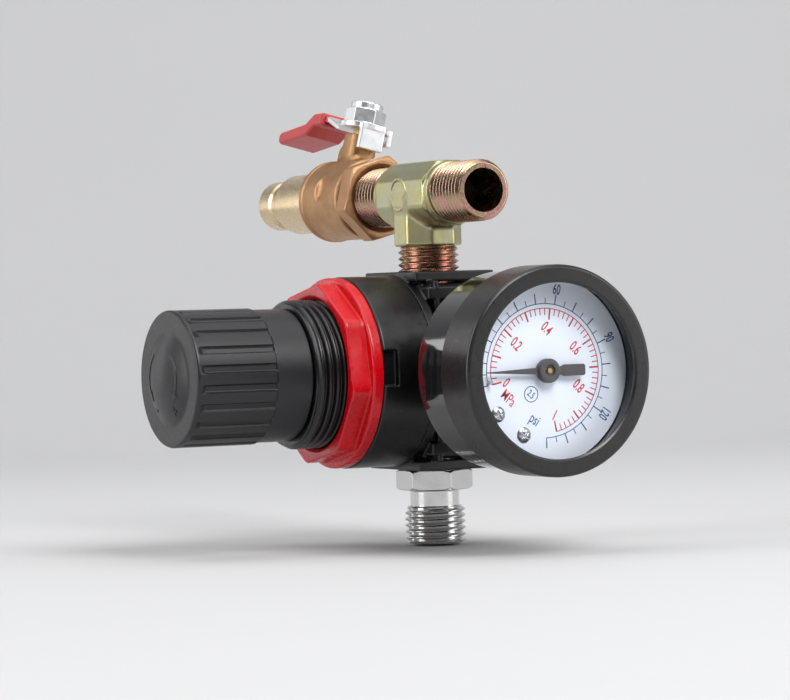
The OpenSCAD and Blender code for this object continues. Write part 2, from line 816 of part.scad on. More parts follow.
module tee() {
    color(zinc) translate([0, 0, run_height]) difference() {
        union() {
            on_back(-run_block) prism(8, tee_af, 2 * run_block);
            on_back(-run_collar) cylinder(h = 2 * run_collar, r = run_collar_r);
            on_back(run_collar - eps) threaded_rod(pipe_r, pipe_pitch, run_reach - run_collar);
            on_front(-run_collar + eps) threaded_rod(pipe_r, pipe_pitch, run_reach - run_collar);
            translate([0, 0, -branch_block]) prism(8, tee_af - branch_step, branch_block);
            translate([0, 0, branch_end - run_height])
                threaded_rod(pipe_r, pipe_pitch, run_height - branch_end - branch_block + eps);
            translate([-tee_af / 2 - 0.25, 0, 0]) rotate([0, 90, 0]) ring(mark_r, mark_r - 0.5, 1);
        }
        on_back(-run_reach - 1) cylinder(h = 2 * run_reach + 2, r = run_bore_r);
        translate([0, 0, branch_end - run_height - 1])
            cylinder(h = run_height - branch_end + 1, r = run_bore_r);
    }
}

module valve_body() {
    color(brass) on_valve() difference() {
        union() {
            on_back(-valve_mouth) intersection() {
                prism(6, valve_af, valve_hex + 2);
                cylinder(h = valve_hex + 2, r1 = valve_af / 2 + 0.4, r2 = valve_af / 2 + 8);
            }
            on_back(-valve_mouth + valve_hex)
                cylinder(h = rim_from + valve_mouth - valve_hex + eps, r = barrel_valve_r);
            on_back(rim_from) cylinder(h = valve_end - rim_from, r = rim_r);
            intersection() {
                translate([-tower_w / 2, -tower_d / 2, 0]) cube([tower_w, tower_d, tower_top]);
                cylinder(h = tower_top, r = tower_round_r);
            }
            across(fin_t) polygon(fin_side);
        }
        on_back(-valve_mouth - 1) cylinder(h = mouth_depth + 1, r = pipe_r + fit);
        on_back(-valve_mouth) cylinder(h = valve_mouth, r = tail_bore_r);
        on_back(-5.3) cylinder(h = valve_end + 5.3 + 1, r = cavity_r);
        cylinder(h = tower_top + 1, r = valve_stem_r + run_fit);
        cylinder(h = collar_top, r = stem_collar_r + 0.15);
        translate([0, 0, gland_u]) cylinder(h = gland_h, r = gland_r);
    }
}

module ball() {
    color(steel) on_valve() difference() {
        sphere(r = ball_r);
        on_back(-ball_r - 1) cylinder(h = 2 * ball_r + 2, r = ball_bore_r);
        translate([-0.9, -ball_r, 3.4]) cube([1.8, 2 * ball_r, ball_r]);
    }
}

module ball_seat(s) {
    mirror([0, s, 0]) difference() {
        on_back(3.1) ring(cavity_r - fit, tail_bore_r, 2.1);
        sphere(r = ball_r + run_fit);
    }
}

module front_seat() {
    color(white) on_valve() ball_seat(1);
}

module rear_seat() {
    color(white) on_valve() ball_seat(0);
}

module valve_stem() {
    color(brass) on_valve() {
        translate([-0.8, -2, 3.6]) cube([1.6, 4, 2]);
        translate([0, 0, 5.5]) cylinder(h = 1.3, r = stem_collar_r);
        translate([0, 0, 6.7]) cylinder(h = tower_top - 6.7 + 0.2, r = valve_stem_r);
        intersection() {
            translate([0, 0, tower_top]) cylinder(h = lever_u + lever_t - tower_top + eps, r = valve_stem_r);
            translate([-stem_flat, -3, tower_top]) cube([2 * stem_flat, 6, 5]);
        }
        translate([0, 0, lever_u + lever_t]) cylinder(h = 4.6, r = 1.95);
    }
}

module stem_oring() {
    color(rubber) on_valve() translate([0, 0, gland_u + gland_h / 2]) rotate_extrude()
        translate([2.65, 0]) circle(r = 0.33, $fn = 16);
}

// Centre line of the lever arm: [along the arm, height]
function arm_path() = [
    [4, lever_u + lever_t / 2], [6, lever_u + lever_t / 2], [11, lever_u + lever_rise + lever_t / 2],
    [16.5, lever_u + lever_rise + lever_t / 2], [20, lever_u - 0.2 + lever_t / 2],
    [lever_length - 1.2, lever_u - 1.6 + lever_t / 2]];

// Side view of a strip of thickness t that follows the points p
module strip(p, t) {
    top = [for (q = p) [q[0], q[1] + t / 2]];
    low = [for (i = [len(p) - 1 : -1 : 0]) [p[i][0], p[i][1] - t / 2]];
    polygon(concat(top, low));
}

// Extrudes an [along, height] outline to width w across the lever
module across(w) {
    translate([-w / 2, 0, 0]) rotate([90, 0, 90]) linear_extrude(height = w) children();
}

module lever_plate() {
    color(steel) on_valve() difference() {
        union() {
            translate([0, 0, lever_u]) cylinder(h = lever_t, r = disc_r);
            across(lever_w) strip(arm_path(), lever_t);
            translate([-tab_w / 2, -tab_y - lever_t, lever_u - tab_drop])
                cube([tab_w, lever_t, tab_drop + lever_t]);
            translate([-tab_w / 2, -tab_y - lever_t, lever_u]) cube([tab_w, tab_y, lever_t]);
            translate([ear_x, -ear_w / 2, lever_u - ear_drop]) cube([lever_t, ear_w, ear_drop + lever_t]);
            translate([2, -ear_w / 2, lever_u]) cube([ear_x - 1.5, ear_w, lever_t]);
        }
        intersection() {
            translate([0, 0, lever_u - 1]) cylinder(h = lever_t + 2, r = valve_stem_r + fit);
            translate([-stem_flat - fit, -3, lever_u - 1]) cube([2 * (stem_flat + fit), 6, 5]);
        }
    }
}

module lever_sleeve() {
    path = [for (q = arm_path()) if (q[0] > sleeve_from) q];
    outer = concat([[sleeve_from, path[0][1]]], [for (q = path) [q[0], q[1]]],
        [[lever_length, path[len(path) - 1][1] - 0.12]]);
    color(red) on_valve() difference() {
        across(sleeve_w) strip(outer, lever_t + 2 * sleeve_wall);
        across(lever_w + 2 * fit) strip(concat([[sleeve_from - 1, path[0][1]]], path), lever_t + 2 * fit);
    }
}

module lock_nut() {
    from = lever_u + lever_t + 0.02;
    color(steel) on_valve() difference() {
        union() {
            translate([0, 0, from]) prism(6, lock_nut_af, lock_nut_h);
            translate([0, 0, from + lock_nut_h - eps]) cylinder(h = lock_collar_h, r = lock_collar_r);
        }
        translate([0, 0, from - 1]) cylinder(h = lock_nut_h + lock_collar_h + 2, r = 2);
    }
}

module valve_tail() {
    ring_l = 5.3;
    groove_l = 5.2;
    body_l = tail_length - ring_l - groove_l;
    color(brass) on_valve() on_back(5.3) rotate_extrude() polygon([
        [tail_bore_r, 0], [cavity_r - fit, 0], [cavity_r - fit, valve_end - 5.3],
        [tail_neck_r, valve_end - 5.3], [tail_neck_r, 5.2],
        [tail_body_r, 5.8], [tail_body_r, body_l - 5.3 - 0.5], [tail_body_r - 0.5, body_l - 5.3],
        [tail_groove_r, body_l - 5.3], [tail_groove_r, body_l + groove_l - 5.3 - 0.8],
        [tail_ring_r, body_l + groove_l - 5.3], [tail_ring_r, tail_length - 5.3 - 0.6],
        [tail_ring_r - 0.6, tail_length - 5.3], [tail_bore_r, tail_length - 5.3]]);
}

module outlet_nipple() {
    bottom = -port_z - nipple_length;
    thread_l = nipple_length - hex_h - nipple_neck - 0.2;
    color(steel) difference() {
        union() {
            translate([0, 0, bottom]) threaded_rod(pipe_r, pipe_pitch, thread_l);
            translate([0, 0, bottom + thread_l - eps])
                cylinder(h = nipple_neck + 2 * eps, r = nipple_neck_r);
            rotate([0, 0, nipple_clock]) translate([0, 0, -port_z - 0.2 - hex_h])
                cylinder(h = hex_h, r = nipple_af / 2 / cos(30), $fn = 6);
            translate([0, 0, -port_z - 0.2 - eps])
                threaded_rod(pipe_r, pipe_pitch, port_depth - 0.6);
        }
        translate([0, 0, bottom - 1]) cylinder(h = nipple_length + port_depth + 2, r = nipple_bore_r);
    }
}

body();
bonnet();
panel_nut();
knob();
adjusting_screw();
spring_nut();
main_spring();
pressure_plate();
diaphragm();
relief_seat();
poppet();
poppet_seal();
poppet_spring();
bottom_cap();
cap_oring();
rear_port_plug();
gauge_socket();
gauge_case();
gauge_bezel();
gauge_lens();
gauge_dial();
dial_screws();
stop_pin();
gauge_pointer();
pointer_arbor();
movement_frame();
sector_gear();
sector_link();
bourdon_tube();
tee();
valve_body();
ball();
front_seat();
rear_seat();
valve_stem();
stem_oring();
lever_plate();
lever_sleeve();
lock_nut();
valve_tail();
outlet_nipple();
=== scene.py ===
"""Looks of the air pressure regulator set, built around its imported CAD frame."""
import json
import math

import bpy
import bmesh
import numpy as np
from mathutils import Matrix, Vector


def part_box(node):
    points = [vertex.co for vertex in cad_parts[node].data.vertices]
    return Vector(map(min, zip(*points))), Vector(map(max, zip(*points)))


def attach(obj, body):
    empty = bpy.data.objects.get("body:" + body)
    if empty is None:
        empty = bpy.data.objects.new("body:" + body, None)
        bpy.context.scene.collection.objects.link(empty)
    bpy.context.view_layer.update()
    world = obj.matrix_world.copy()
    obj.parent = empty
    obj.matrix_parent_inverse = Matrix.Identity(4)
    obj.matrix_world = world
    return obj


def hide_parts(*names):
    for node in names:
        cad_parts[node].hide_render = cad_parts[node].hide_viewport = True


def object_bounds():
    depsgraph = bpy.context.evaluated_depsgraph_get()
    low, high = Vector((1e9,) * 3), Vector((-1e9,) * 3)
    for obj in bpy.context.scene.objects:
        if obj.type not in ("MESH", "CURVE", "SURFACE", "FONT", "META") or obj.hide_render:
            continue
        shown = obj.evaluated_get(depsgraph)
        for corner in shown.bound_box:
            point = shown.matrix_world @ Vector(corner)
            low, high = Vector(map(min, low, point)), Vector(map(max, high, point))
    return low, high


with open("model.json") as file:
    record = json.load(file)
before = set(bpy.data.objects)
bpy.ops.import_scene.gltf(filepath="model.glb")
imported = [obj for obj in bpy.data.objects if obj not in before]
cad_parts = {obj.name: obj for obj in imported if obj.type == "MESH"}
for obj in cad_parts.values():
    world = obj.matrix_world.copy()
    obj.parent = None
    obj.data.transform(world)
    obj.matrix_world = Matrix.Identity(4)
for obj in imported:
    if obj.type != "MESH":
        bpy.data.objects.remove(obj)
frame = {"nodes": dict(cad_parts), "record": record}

NODES = frame["nodes"]
CAD_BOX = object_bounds()
MM = 1e-3


def span(node):
    """A CAD node's lowest and highest corner in millimetres."""
    lo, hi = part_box(node)
    return np.array(lo) / MM, np.array(hi) / MM


# ---------------------------------------------------------------- mesh tools

def finish_mesh(name, verts, faces, mat, body, stands_for=(), sharp=40.0, normals=None, weld=True):
    """Makes an object from millimetre vertices, shades it and ties it to a CAD body."""
    mesh = bpy.data.meshes.new(name)
    mesh.from_pydata((np.asarray(verts, float) * MM).tolist(), [], [list(f) for f in faces])
    if weld:
        bm = bmesh.new()
        bm.from_mesh(mesh)
        bmesh.ops.remove_doubles(bm, verts=bm.verts, dist=2e-7)
        bmesh.ops.dissolve_degenerate(bm, edges=bm.edges, dist=1e-8)
        bmesh.ops.recalc_face_normals(bm, faces=bm.faces)
        limit = math.radians(sharp)
        for e in bm.edges:
            e.smooth = len(e.link_faces) == 2 and e.calc_face_angle(0.0) < limit
        bm.to_mesh(mesh)
        bm.free()
    mesh.shade_smooth() if normals is not None else [setattr(p, "use_smooth", True) for p in mesh.polygons]
    if normals is not None:
        mesh.normals_split_custom_set_from_vertices(normals.tolist())
    obj = bpy.data.objects.new(name, mesh)
    bpy.context.scene.collection.objects.link(obj)
    for m in mat if isinstance(mat, (list, tuple)) else [mat]:
        mesh.materials.append(m)
    if normals is None:
        soft = obj.modifiers.new("even_shading", "WEIGHTED_NORMAL")
        soft.keep_sharp = True
        soft.weight = 70
    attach(obj, body)
    if stands_for:
        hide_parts(*stands_for)
    return obj


def joined(parts):
    """One vertex and face list from several."""
    verts, faces, base = [], [], 0
    for v, f in parts:
        v = np.asarray(v, float)
        verts.append(v)
        faces += [tuple(i + base for i in q) for q in f]
        base += len(v)
    return np.vstack(verts), faces


def loft(rings, closed=False, cap=True):
    """Quads between rings of equal count. closed joins the last ring to the first; cap fills open ends."""
    n, m = len(rings), len(rings[0])
    verts = np.vstack(rings)
    faces = []
    for i in range(n if closed else n - 1):
        a, b = i * m, ((i + 1) % n) * m
        faces += [(a + k, a + (k + 1) % m, b + (k + 1) % m, b + k) for k in range(m)]
    if cap and not closed:
        faces += [tuple(range(m - 1, -1, -1)), tuple((n - 1) * m + k for k in range(m))]
    return verts, faces


def rounded(points, radii, steps=5):
    """A profile with arcs in its corners; radii is one number or one per point."""
    pts = [np.array(p, float) for p in points]
    n = len(pts)
    radii = [radii] * n if np.isscalar(radii) else radii
    out = []
    for i, p in enumerate(pts):
        a, b, r = pts[i - 1], pts[(i + 1) % n], radii[i]
        u, v = a - p, b - p
        lu, lv = np.linalg.norm(u), np.linalg.norm(v)
        if r <= 0 or lu < 1e-9 or lv < 1e-9:
            out.append(p)
            continue
        u, v = u / lu, v / lv
        half = math.acos(np.clip(u @ v, -1, 1)) / 2
        if half > math.radians(88):
            out.append(p)
            continue
        d = min(r / math.tan(half), 0.48 * lu, 0.48 * lv)
        rr = d * math.tan(half)
        c = p + (u + v) / np.linalg.norm(u + v) * rr / math.sin(half)
        s, e = p + u * d - c, p + v * d - c
        turn = math.acos(np.clip(s @ e / (rr * rr), -1, 1))
        for k in range(steps + 1):
            t = k / steps
            w = (math.sin((1 - t) * turn) * s + math.sin(t * turn) * e) / math.sin(turn)
            out.append(c + w)
    return np.array(out)


def spin(profile, n=96):
    """A closed (radius, height) profile turned about +Z."""
    a = np.linspace(0, 2 * np.pi, n, endpoint=False)
    rings = [np.stack([r * np.cos(a), r * np.sin(a), np.full(n, z)], 1) for r, z in profile]
    return loft(rings, closed=True)


def place(mesh, origin, z_axis, x_axis=None):
    """Moves a mesh from its own frame to one with the given origin and axes."""
    v, f = mesh
    z = np.array(z_axis, float) / np.linalg.norm(z_axis)
    x = np.array(x_axis if x_axis is not None else ([0, 0, 1] if abs(z[2]) < 0.9 else [1, 0, 0]), float)
    x = x - z * (x @ z)
    x /= np.linalg.norm(x)
    y = np.cross(z, x)
    return np.asarray(v) @ np.stack([x, y, z]) + np.array(origin, float), f


def thread(r, pitch, depth, z0, z1, bore, lead=(0.9, 0.9), before=(), after=(), n=112, crest=0.12, root=0.1):
    """A tube with a real helical thread outside, from z0 to z1. before and after are extra (radius, height) rings."""
    flank = (1 - crest - root) / 2
    marks = [(0, 1), (root / 2, 0.97), (root / 2 + 0.16 * flank, 0.86), (root / 2 + 0.5 * flank, 0.5),
             (root / 2 + 0.84 * flank, 0.14), (root / 2 + flank, 0.03), (0.5, 0),
             (1 - root / 2 - flank, 0.03), (1 - root / 2 - 0.84 * flank, 0.14),
             (1 - root / 2 - 0.5 * flank, 0.5), (1 - root / 2 - 0.16 * flank, 0.86), (1 - root / 2, 0.97)]
    sp = len(marks)
    turns = int(math.ceil((z1 - z0) / pitch)) + 2
    base = np.array([z0 - pitch + pitch * (i + u) for i in range(turns) for u, _ in marks])
    k = np.array([d for _ in range(turns) for _, d in marks])
    t = np.arange(n) / n
    z = np.clip(base[:, None] + pitch * t[None, :], z0, z1)
    rr = np.broadcast_to((r - depth * k)[:, None], z.shape)
    low = r - depth - 0.02
    rr = np.minimum(rr, low + (z - z0) / lead[0])
    rr = np.minimum(rr, low + (z1 - z) / lead[1])
    a = 2 * np.pi * t
    rows = np.stack([rr * np.cos(a), rr * np.sin(a), z], 2)
    rows = np.concatenate([np.stack([low * np.cos(a), low * np.sin(a), np.full(n, z0)], 1)[None], rows,
                           np.stack([low * np.cos(a), low * np.sin(a), np.full(n, z1)], 1)[None]])
    count = len(rows)
    faces = []
    for j in range(count - 1):
        faces += [(j * n + i, j * n + i + 1, (j + 1) * n + i + 1, (j + 1) * n + i) for i in range(n - 1)]
    top = count - 1
    for j in range(-sp, top):
        a0, a1 = max(j, 0), max(j + 1, 0)
        b0, b1 = min(j + sp, top), min(j + 1 + sp, top)
        faces.append((a0 * n + n - 1, b0 * n, b1 * n, a1 * n + n - 1))
    verts = [rows.reshape(-1, 3)]
    total = count * n
    ring = lambda q: np.stack([q[0] * np.cos(a), q[0] * np.sin(a), np.full(n, q[1])], 1)
    last = top * n
    start_ring, end_ring = 0, last
    tail = [*after, (bore, after[-1][1] if after else z1)]
    head = [(bore, before[0][1] if before else z0), *before]
    for q in tail:
        verts.append(ring(q))
        faces += [(last + i, last + (i + 1) % n, total + (i + 1) % n, total + i) for i in range(n)]
        last = total
        total += n
    for q in head:
        verts.append(ring(q))
        faces += [(last + i, last + (i + 1) % n, total + (i + 1) % n, total + i) for i in range(n)]
        last = total
        total += n
    faces += [(last + i, last + (i + 1) % n, start_ring + (i + 1) % n, start_ring + i) for i in range(n)]
    return np.vstack(verts), [f for f in faces if len(set(f)) > 2]


# ---------------------------------------------------------------- distance fields

def vlen(*c):
    return np.sqrt(sum(x * x for x in c))


def d_box(p, c, h, r=0.0):
    q = [np.abs(p[:, i] - c[i]) - h[i] + r for i in range(3)]
    out = vlen(*[np.maximum(x, 0) for x in q])
    return out + np.minimum(np.maximum(np.maximum(q[0], q[1]), q[2]), 0) - r


def d_tube(p, axis, c, rad, half, r=0.0):
    """A round bar along axis 0, 1 or 2, centred at c, with rounded rims."""
    i, j = [k for k in range(3) if k != axis]
    a = vlen(p[:, i] - c[i], p[:, j] - c[j]) - rad + r
    b = np.abs(p[:, axis] - c[axis]) - half + r
    return vlen(np.maximum(a, 0), np.maximum(b, 0)) + np.minimum(np.maximum(a, b), 0) - r


def d_prism(p, axis, c, n, af, half, turn=0.0, r=0.0, corner=0.0):
    """A regular prism along an axis, with rounded rims and corners."""
    i, j = [k for k in range(3) if k != axis]
    x, y = p[:, i] - c[i], p[:, j] - c[j]
    ang = [turn + 2 * math.pi * k / n for k in range(n)]
    side = None
    for a in ang:
        d = x * math.cos(a) + y * math.sin(a) - af / 2
        side = d if side is None else smax(side, d, corner)
    b = np.abs(p[:, axis] - c[axis]) - half
    return smax(side, b, r)


def d_cone(p, axis, at, rad, slope, sign):
    """Half space bounded by a cone: radius grows by slope for each mm from at, along sign times the axis."""
    i, j = [k for k in range(3) if k != axis]
    rho = vlen(p[:, i], p[:, j])
    z = (p[:, axis] - at) * sign
    return (rho - rad - slope * z) / math.hypot(1, slope)


def smin(a, b, r):
    """Union with a fillet of radius r."""
    if r <= 0:
        return np.minimum(a, b)
    return np.maximum(r, np.minimum(a, b)) - vlen(np.maximum(r - a, 0), np.maximum(r - b, 0))


def smax(a, b, r):
    """Intersection with a rounded edge of radius r."""
    return -smin(-a, -b, r)


def field_mesh(f, lo, hi, step):
    """Surface nets over a distance field, with each vertex then drawn onto the exact surface. Returns vertices, quads, normals."""
    lo, hi = np.array(lo, float), np.array(hi, float)
    block = 8
    n = (np.ceil((hi - lo) / step / block) * block).astype(int)
    axes = [lo[i] + step * np.arange(n[i]) for i in range(3)]
    coarse = [a.reshape(-1, block).mean(1) for a in axes]
    g = np.stack(np.meshgrid(*coarse, indexing="ij"), -1).reshape(-1, 3)
    shape = [len(c) for c in coarse]
    near = f(g).reshape(shape)
    reach = 0.5 * math.sqrt(3) * block * step * 1.25
    live = np.abs(near) < reach
    up = lambda a: a.repeat(block, 0).repeat(block, 1).repeat(block, 2)
    v = up(near).astype(np.float32)
    mask = up(live)
    idx = np.argwhere(mask)
    pts = lo + idx * step
    vals = np.empty(len(pts), np.float32)
    for s in range(0, len(pts), 400000):
        vals[s:s + 400000] = f(pts[s:s + 400000])
    v[mask] = vals
    neg = v < 0
    c8 = [(i, j, k) for i in (0, 1) for j in (0, 1) for k in (0, 1)]
    cut = lambda a, o: a[o[0]:n[0] - 1 + o[0], o[1]:n[1] - 1 + o[1], o[2]:n[2] - 1 + o[2]]
    count = sum(cut(neg, o).astype(np.uint8) for o in c8)
    active = (count > 0) & (count < 8)
    cells = np.argwhere(active)
    number = -np.ones(active.shape, np.int64)
    number[active] = np.arange(len(cells))
    corner = {o: v[cells[:, 0] + o[0], cells[:, 1] + o[1], cells[:, 2] + o[2]].astype(float) for o in c8}
    total, hits = np.zeros((len(cells), 3)), np.zeros(len(cells))
    for o in c8:
        for ax in range(3):
            if o[ax]:
                continue
            q = list(o)
            q[ax] = 1
            a, b = corner[o], corner[tuple(q)]
            m = (a < 0) != (b < 0)
            t = np.where(m, a / np.where(m, a - b, 1), 0)
            pos = np.tile(np.array(o, float), (len(cells), 1))
            pos[:, ax] += t
            total[m] += pos[m]
            hits += m
    verts = lo + (cells + total / hits[:, None]) * step
    faces = []
    for ax in range(3):
        b, c = (ax + 1) % 3, (ax + 2) % 3
        sl0, sl1 = [slice(1, -1)] * 3, [slice(1, -1)] * 3
        sl0[ax], sl1[ax] = slice(0, n[ax] - 1), slice(1, n[ax])
        a0, a1 = neg[tuple(sl0)], neg[tuple(sl1)]
        e = np.argwhere(a0 != a1)
        inside_first = a0[a0 != a1]
        base = e + 1
        base[:, ax] -= 1
        quad = []
        for db, dc in ((1, 1), (0, 1), (0, 0), (1, 0)):
            q = base.copy()
            q[:, b] -= db
            q[:, c] -= dc
            quad.append(number[q[:, 0], q[:, 1], q[:, 2]])
        quad = np.stack(quad, 1)
        quad[~inside_first] = quad[~inside_first][:, ::-1]
        faces.append(quad)
    faces = np.vstack(faces)
    faces = faces[(faces >= 0).all(1)]
    h = 0.02 * step + 0.004
    def slope(p):
        return np.stack([f(p + d) - f(p - d) for d in np.eye(3) * h], 1) / (2 * h)
    start = verts.copy()
    for _ in range(3):
        g = slope(verts)
        g2 = np.maximum((g * g).sum(1), 0.05)
        move = (f(verts) / g2)[:, None] * g
        verts = verts - move
        drift = verts - start
        far = np.linalg.norm(drift, axis=1)
        cap = np.minimum(1, 0.9 * step / np.maximum(far, 1e-9))
        verts = start + drift * cap[:, None]
    g = slope(verts)
    g /= np.maximum(np.linalg.norm(g, axis=1), 1e-9)[:, None]
    return verts, faces, g


def field_piece(name, f, lo, hi, step, mat, body, stands_for=(), frame_of=None):
    """An object meshed from a distance field. frame_of is (origin, 3x3 rows of axes) for a field in its own frame."""
    v, q, g = field_mesh(f, lo, hi, step)
    if frame_of is not None:
        origin, rows = frame_of
        v, g = v @ rows + origin, g @ rows
    return finish_mesh(name, v, q, mat, body, stands_for, normals=g, weld=False)


# ---------------------------------------------------------------- materials

def material(name, colour, rough, metal=0.0, grain=0.4, bump=0.1, vary=0.06, rough_vary=0.08, coat=0.0,
             second=None, patch=6.0, turned=None, ior=1.5, coarse=0.0, coat_rough=0.08, spec=0.5):
    """A procedural finish. grain is the size in mm of the fine relief, patch that of the broad colour change;
    second is the colour of the patches; turned is the axis of fine turning lines."""
    m = bpy.data.materials.new(name)
    m.use_nodes = True
    t = m.node_tree
    n, l = t.nodes, t.links
    n.clear()
    out = n.new("ShaderNodeOutputMaterial")
    s = n.new("ShaderNodeBsdfPrincipled")
    l.new(s.outputs[0], out.inputs[0])
    s.inputs["Metallic"].default_value = metal
    s.inputs["IOR"].default_value = ior
    s.inputs["Coat Weight"].default_value = coat
    s.inputs["Coat Roughness"].default_value = coat_rough
    s.inputs["Specular IOR Level"].default_value = spec
    tc = n.new("ShaderNodeTexCoord")

    def noise(size, detail, lo, hi):
        q = n.new("ShaderNodeTexNoise")
        q.inputs["Scale"].default_value = 1 / (size * MM)
        q.inputs["Detail"].default_value = detail
        l.new(tc.outputs["Object"], q.inputs["Vector"])
        r = n.new("ShaderNodeMapRange")
        r.inputs["From Min"].default_value = 0.3
        r.inputs["From Max"].default_value = 0.7
        r.inputs["To Min"].default_value = lo
        r.inputs["To Max"].default_value = hi
        l.new(q.outputs["Fac"], r.inputs["Value"])
        return r.outputs[0]

    broad = noise(patch, 4, 0.0, 1.0)
    mix = n.new("ShaderNodeMix")
    mix.data_type = "RGBA"
    base = np.array(colour, float)
    other = np.array(second, float) if second is not None else base * (1 - vary)
    mix.inputs["A"].default_value = (*base, 1)
    mix.inputs["B"].default_value = (*other, 1)
    l.new(broad, mix.inputs["Factor"])
    l.new(mix.outputs["Result"], s.inputs["Base Color"])
    l.new(noise(grain * 4, 3, rough, min(1.0, rough + rough_vary)), s.inputs["Roughness"])
    height = noise(grain, 3, 0.0, 1.0)
    last = None
    if coarse:
        b = n.new("ShaderNodeBump")
        b.inputs["Strength"].default_value = 1.0
        b.inputs["Distance"].default_value = coarse * MM
        l.new(noise(grain * 7, 2, 0.0, 1.0), b.inputs["Height"])
        last = b.outputs[0]
    if turned is not None:
        w = n.new("ShaderNodeTexNoise")
        w.noise_dimensions = "1D"
        w.inputs["Detail"].default_value = 5
        w.inputs["Scale"].default_value = 1 / (0.35 * MM)
        sep = n.new("ShaderNodeSeparateXYZ")
        l.new(tc.outputs["Object"], sep.inputs[0])
        l.new(sep.outputs[turned], w.inputs["W"])
        b = n.new("ShaderNodeBump")
        b.inputs["Strength"].default_value = 1.0
        b.inputs["Distance"].default_value = 0.004 * MM
        l.new(w.outputs["Fac"], b.inputs["Height"])
        if last:
            l.new(last, b.inputs["Normal"])
        last = b.outputs[0]
    if bump:
        b = n.new("ShaderNodeBump")
        b.inputs["Strength"].default_value = 1.0
        b.inputs["Distance"].default_value = bump * MM
        l.new(height, b.inputs["Height"])
        if last:
            l.new(last, b.inputs["Normal"])
        last = b.outputs[0]
    if last:
        l.new(last, s.inputs["Normal"])
    return m


def glass_pane():
    """Clear lens: transparent, with a surface reflection that grows at grazing angles."""
    m = bpy.data.materials.new("clear_lens_mat")
    m.use_nodes = True
    t = m.node_tree
    n, l = t.nodes, t.links
    n.clear()
    out = n.new("ShaderNodeOutputMaterial")
    mix = n.new("ShaderNodeMixShader")
    a = n.new("ShaderNodeBsdfTransparent")
    g = n.new("ShaderNodeBsdfGlossy")
    f = n.new("ShaderNodeFresnel")
    tc = n.new("ShaderNodeTexCoord")
    q = n.new("ShaderNodeTexNoise")
    r = n.new("ShaderNodeMapRange")
    q.inputs["Scale"].default_value = 1 / (5 * MM)
    r.inputs["To Min"].default_value = 0.02
    r.inputs["To Max"].default_value = 0.06
    l.new(tc.outputs["Object"], q.inputs["Vector"])
    l.new(q.outputs["Fac"], r.inputs["Value"])
    l.new(r.outputs[0], g.inputs["Roughness"])
    f.inputs["IOR"].default_value = 1.45
    # the pane doesn't bend light, so its far side must not reflect it back as the inside of a solid would
    geo = n.new("ShaderNodeNewGeometry")
    front = n.new("ShaderNodeMath")
    front.operation = "SUBTRACT"
    front.use_clamp = True
    l.new(f.outputs[0], front.inputs[0])
    l.new(geo.outputs["Backfacing"], front.inputs[1])
    l.new(front.outputs[0], mix.inputs[0])
    l.new(a.outputs[0], mix.inputs[1])
    l.new(g.outputs[0], mix.inputs[2])
    l.new(mix.outputs[0], out.inputs[0])
    return m


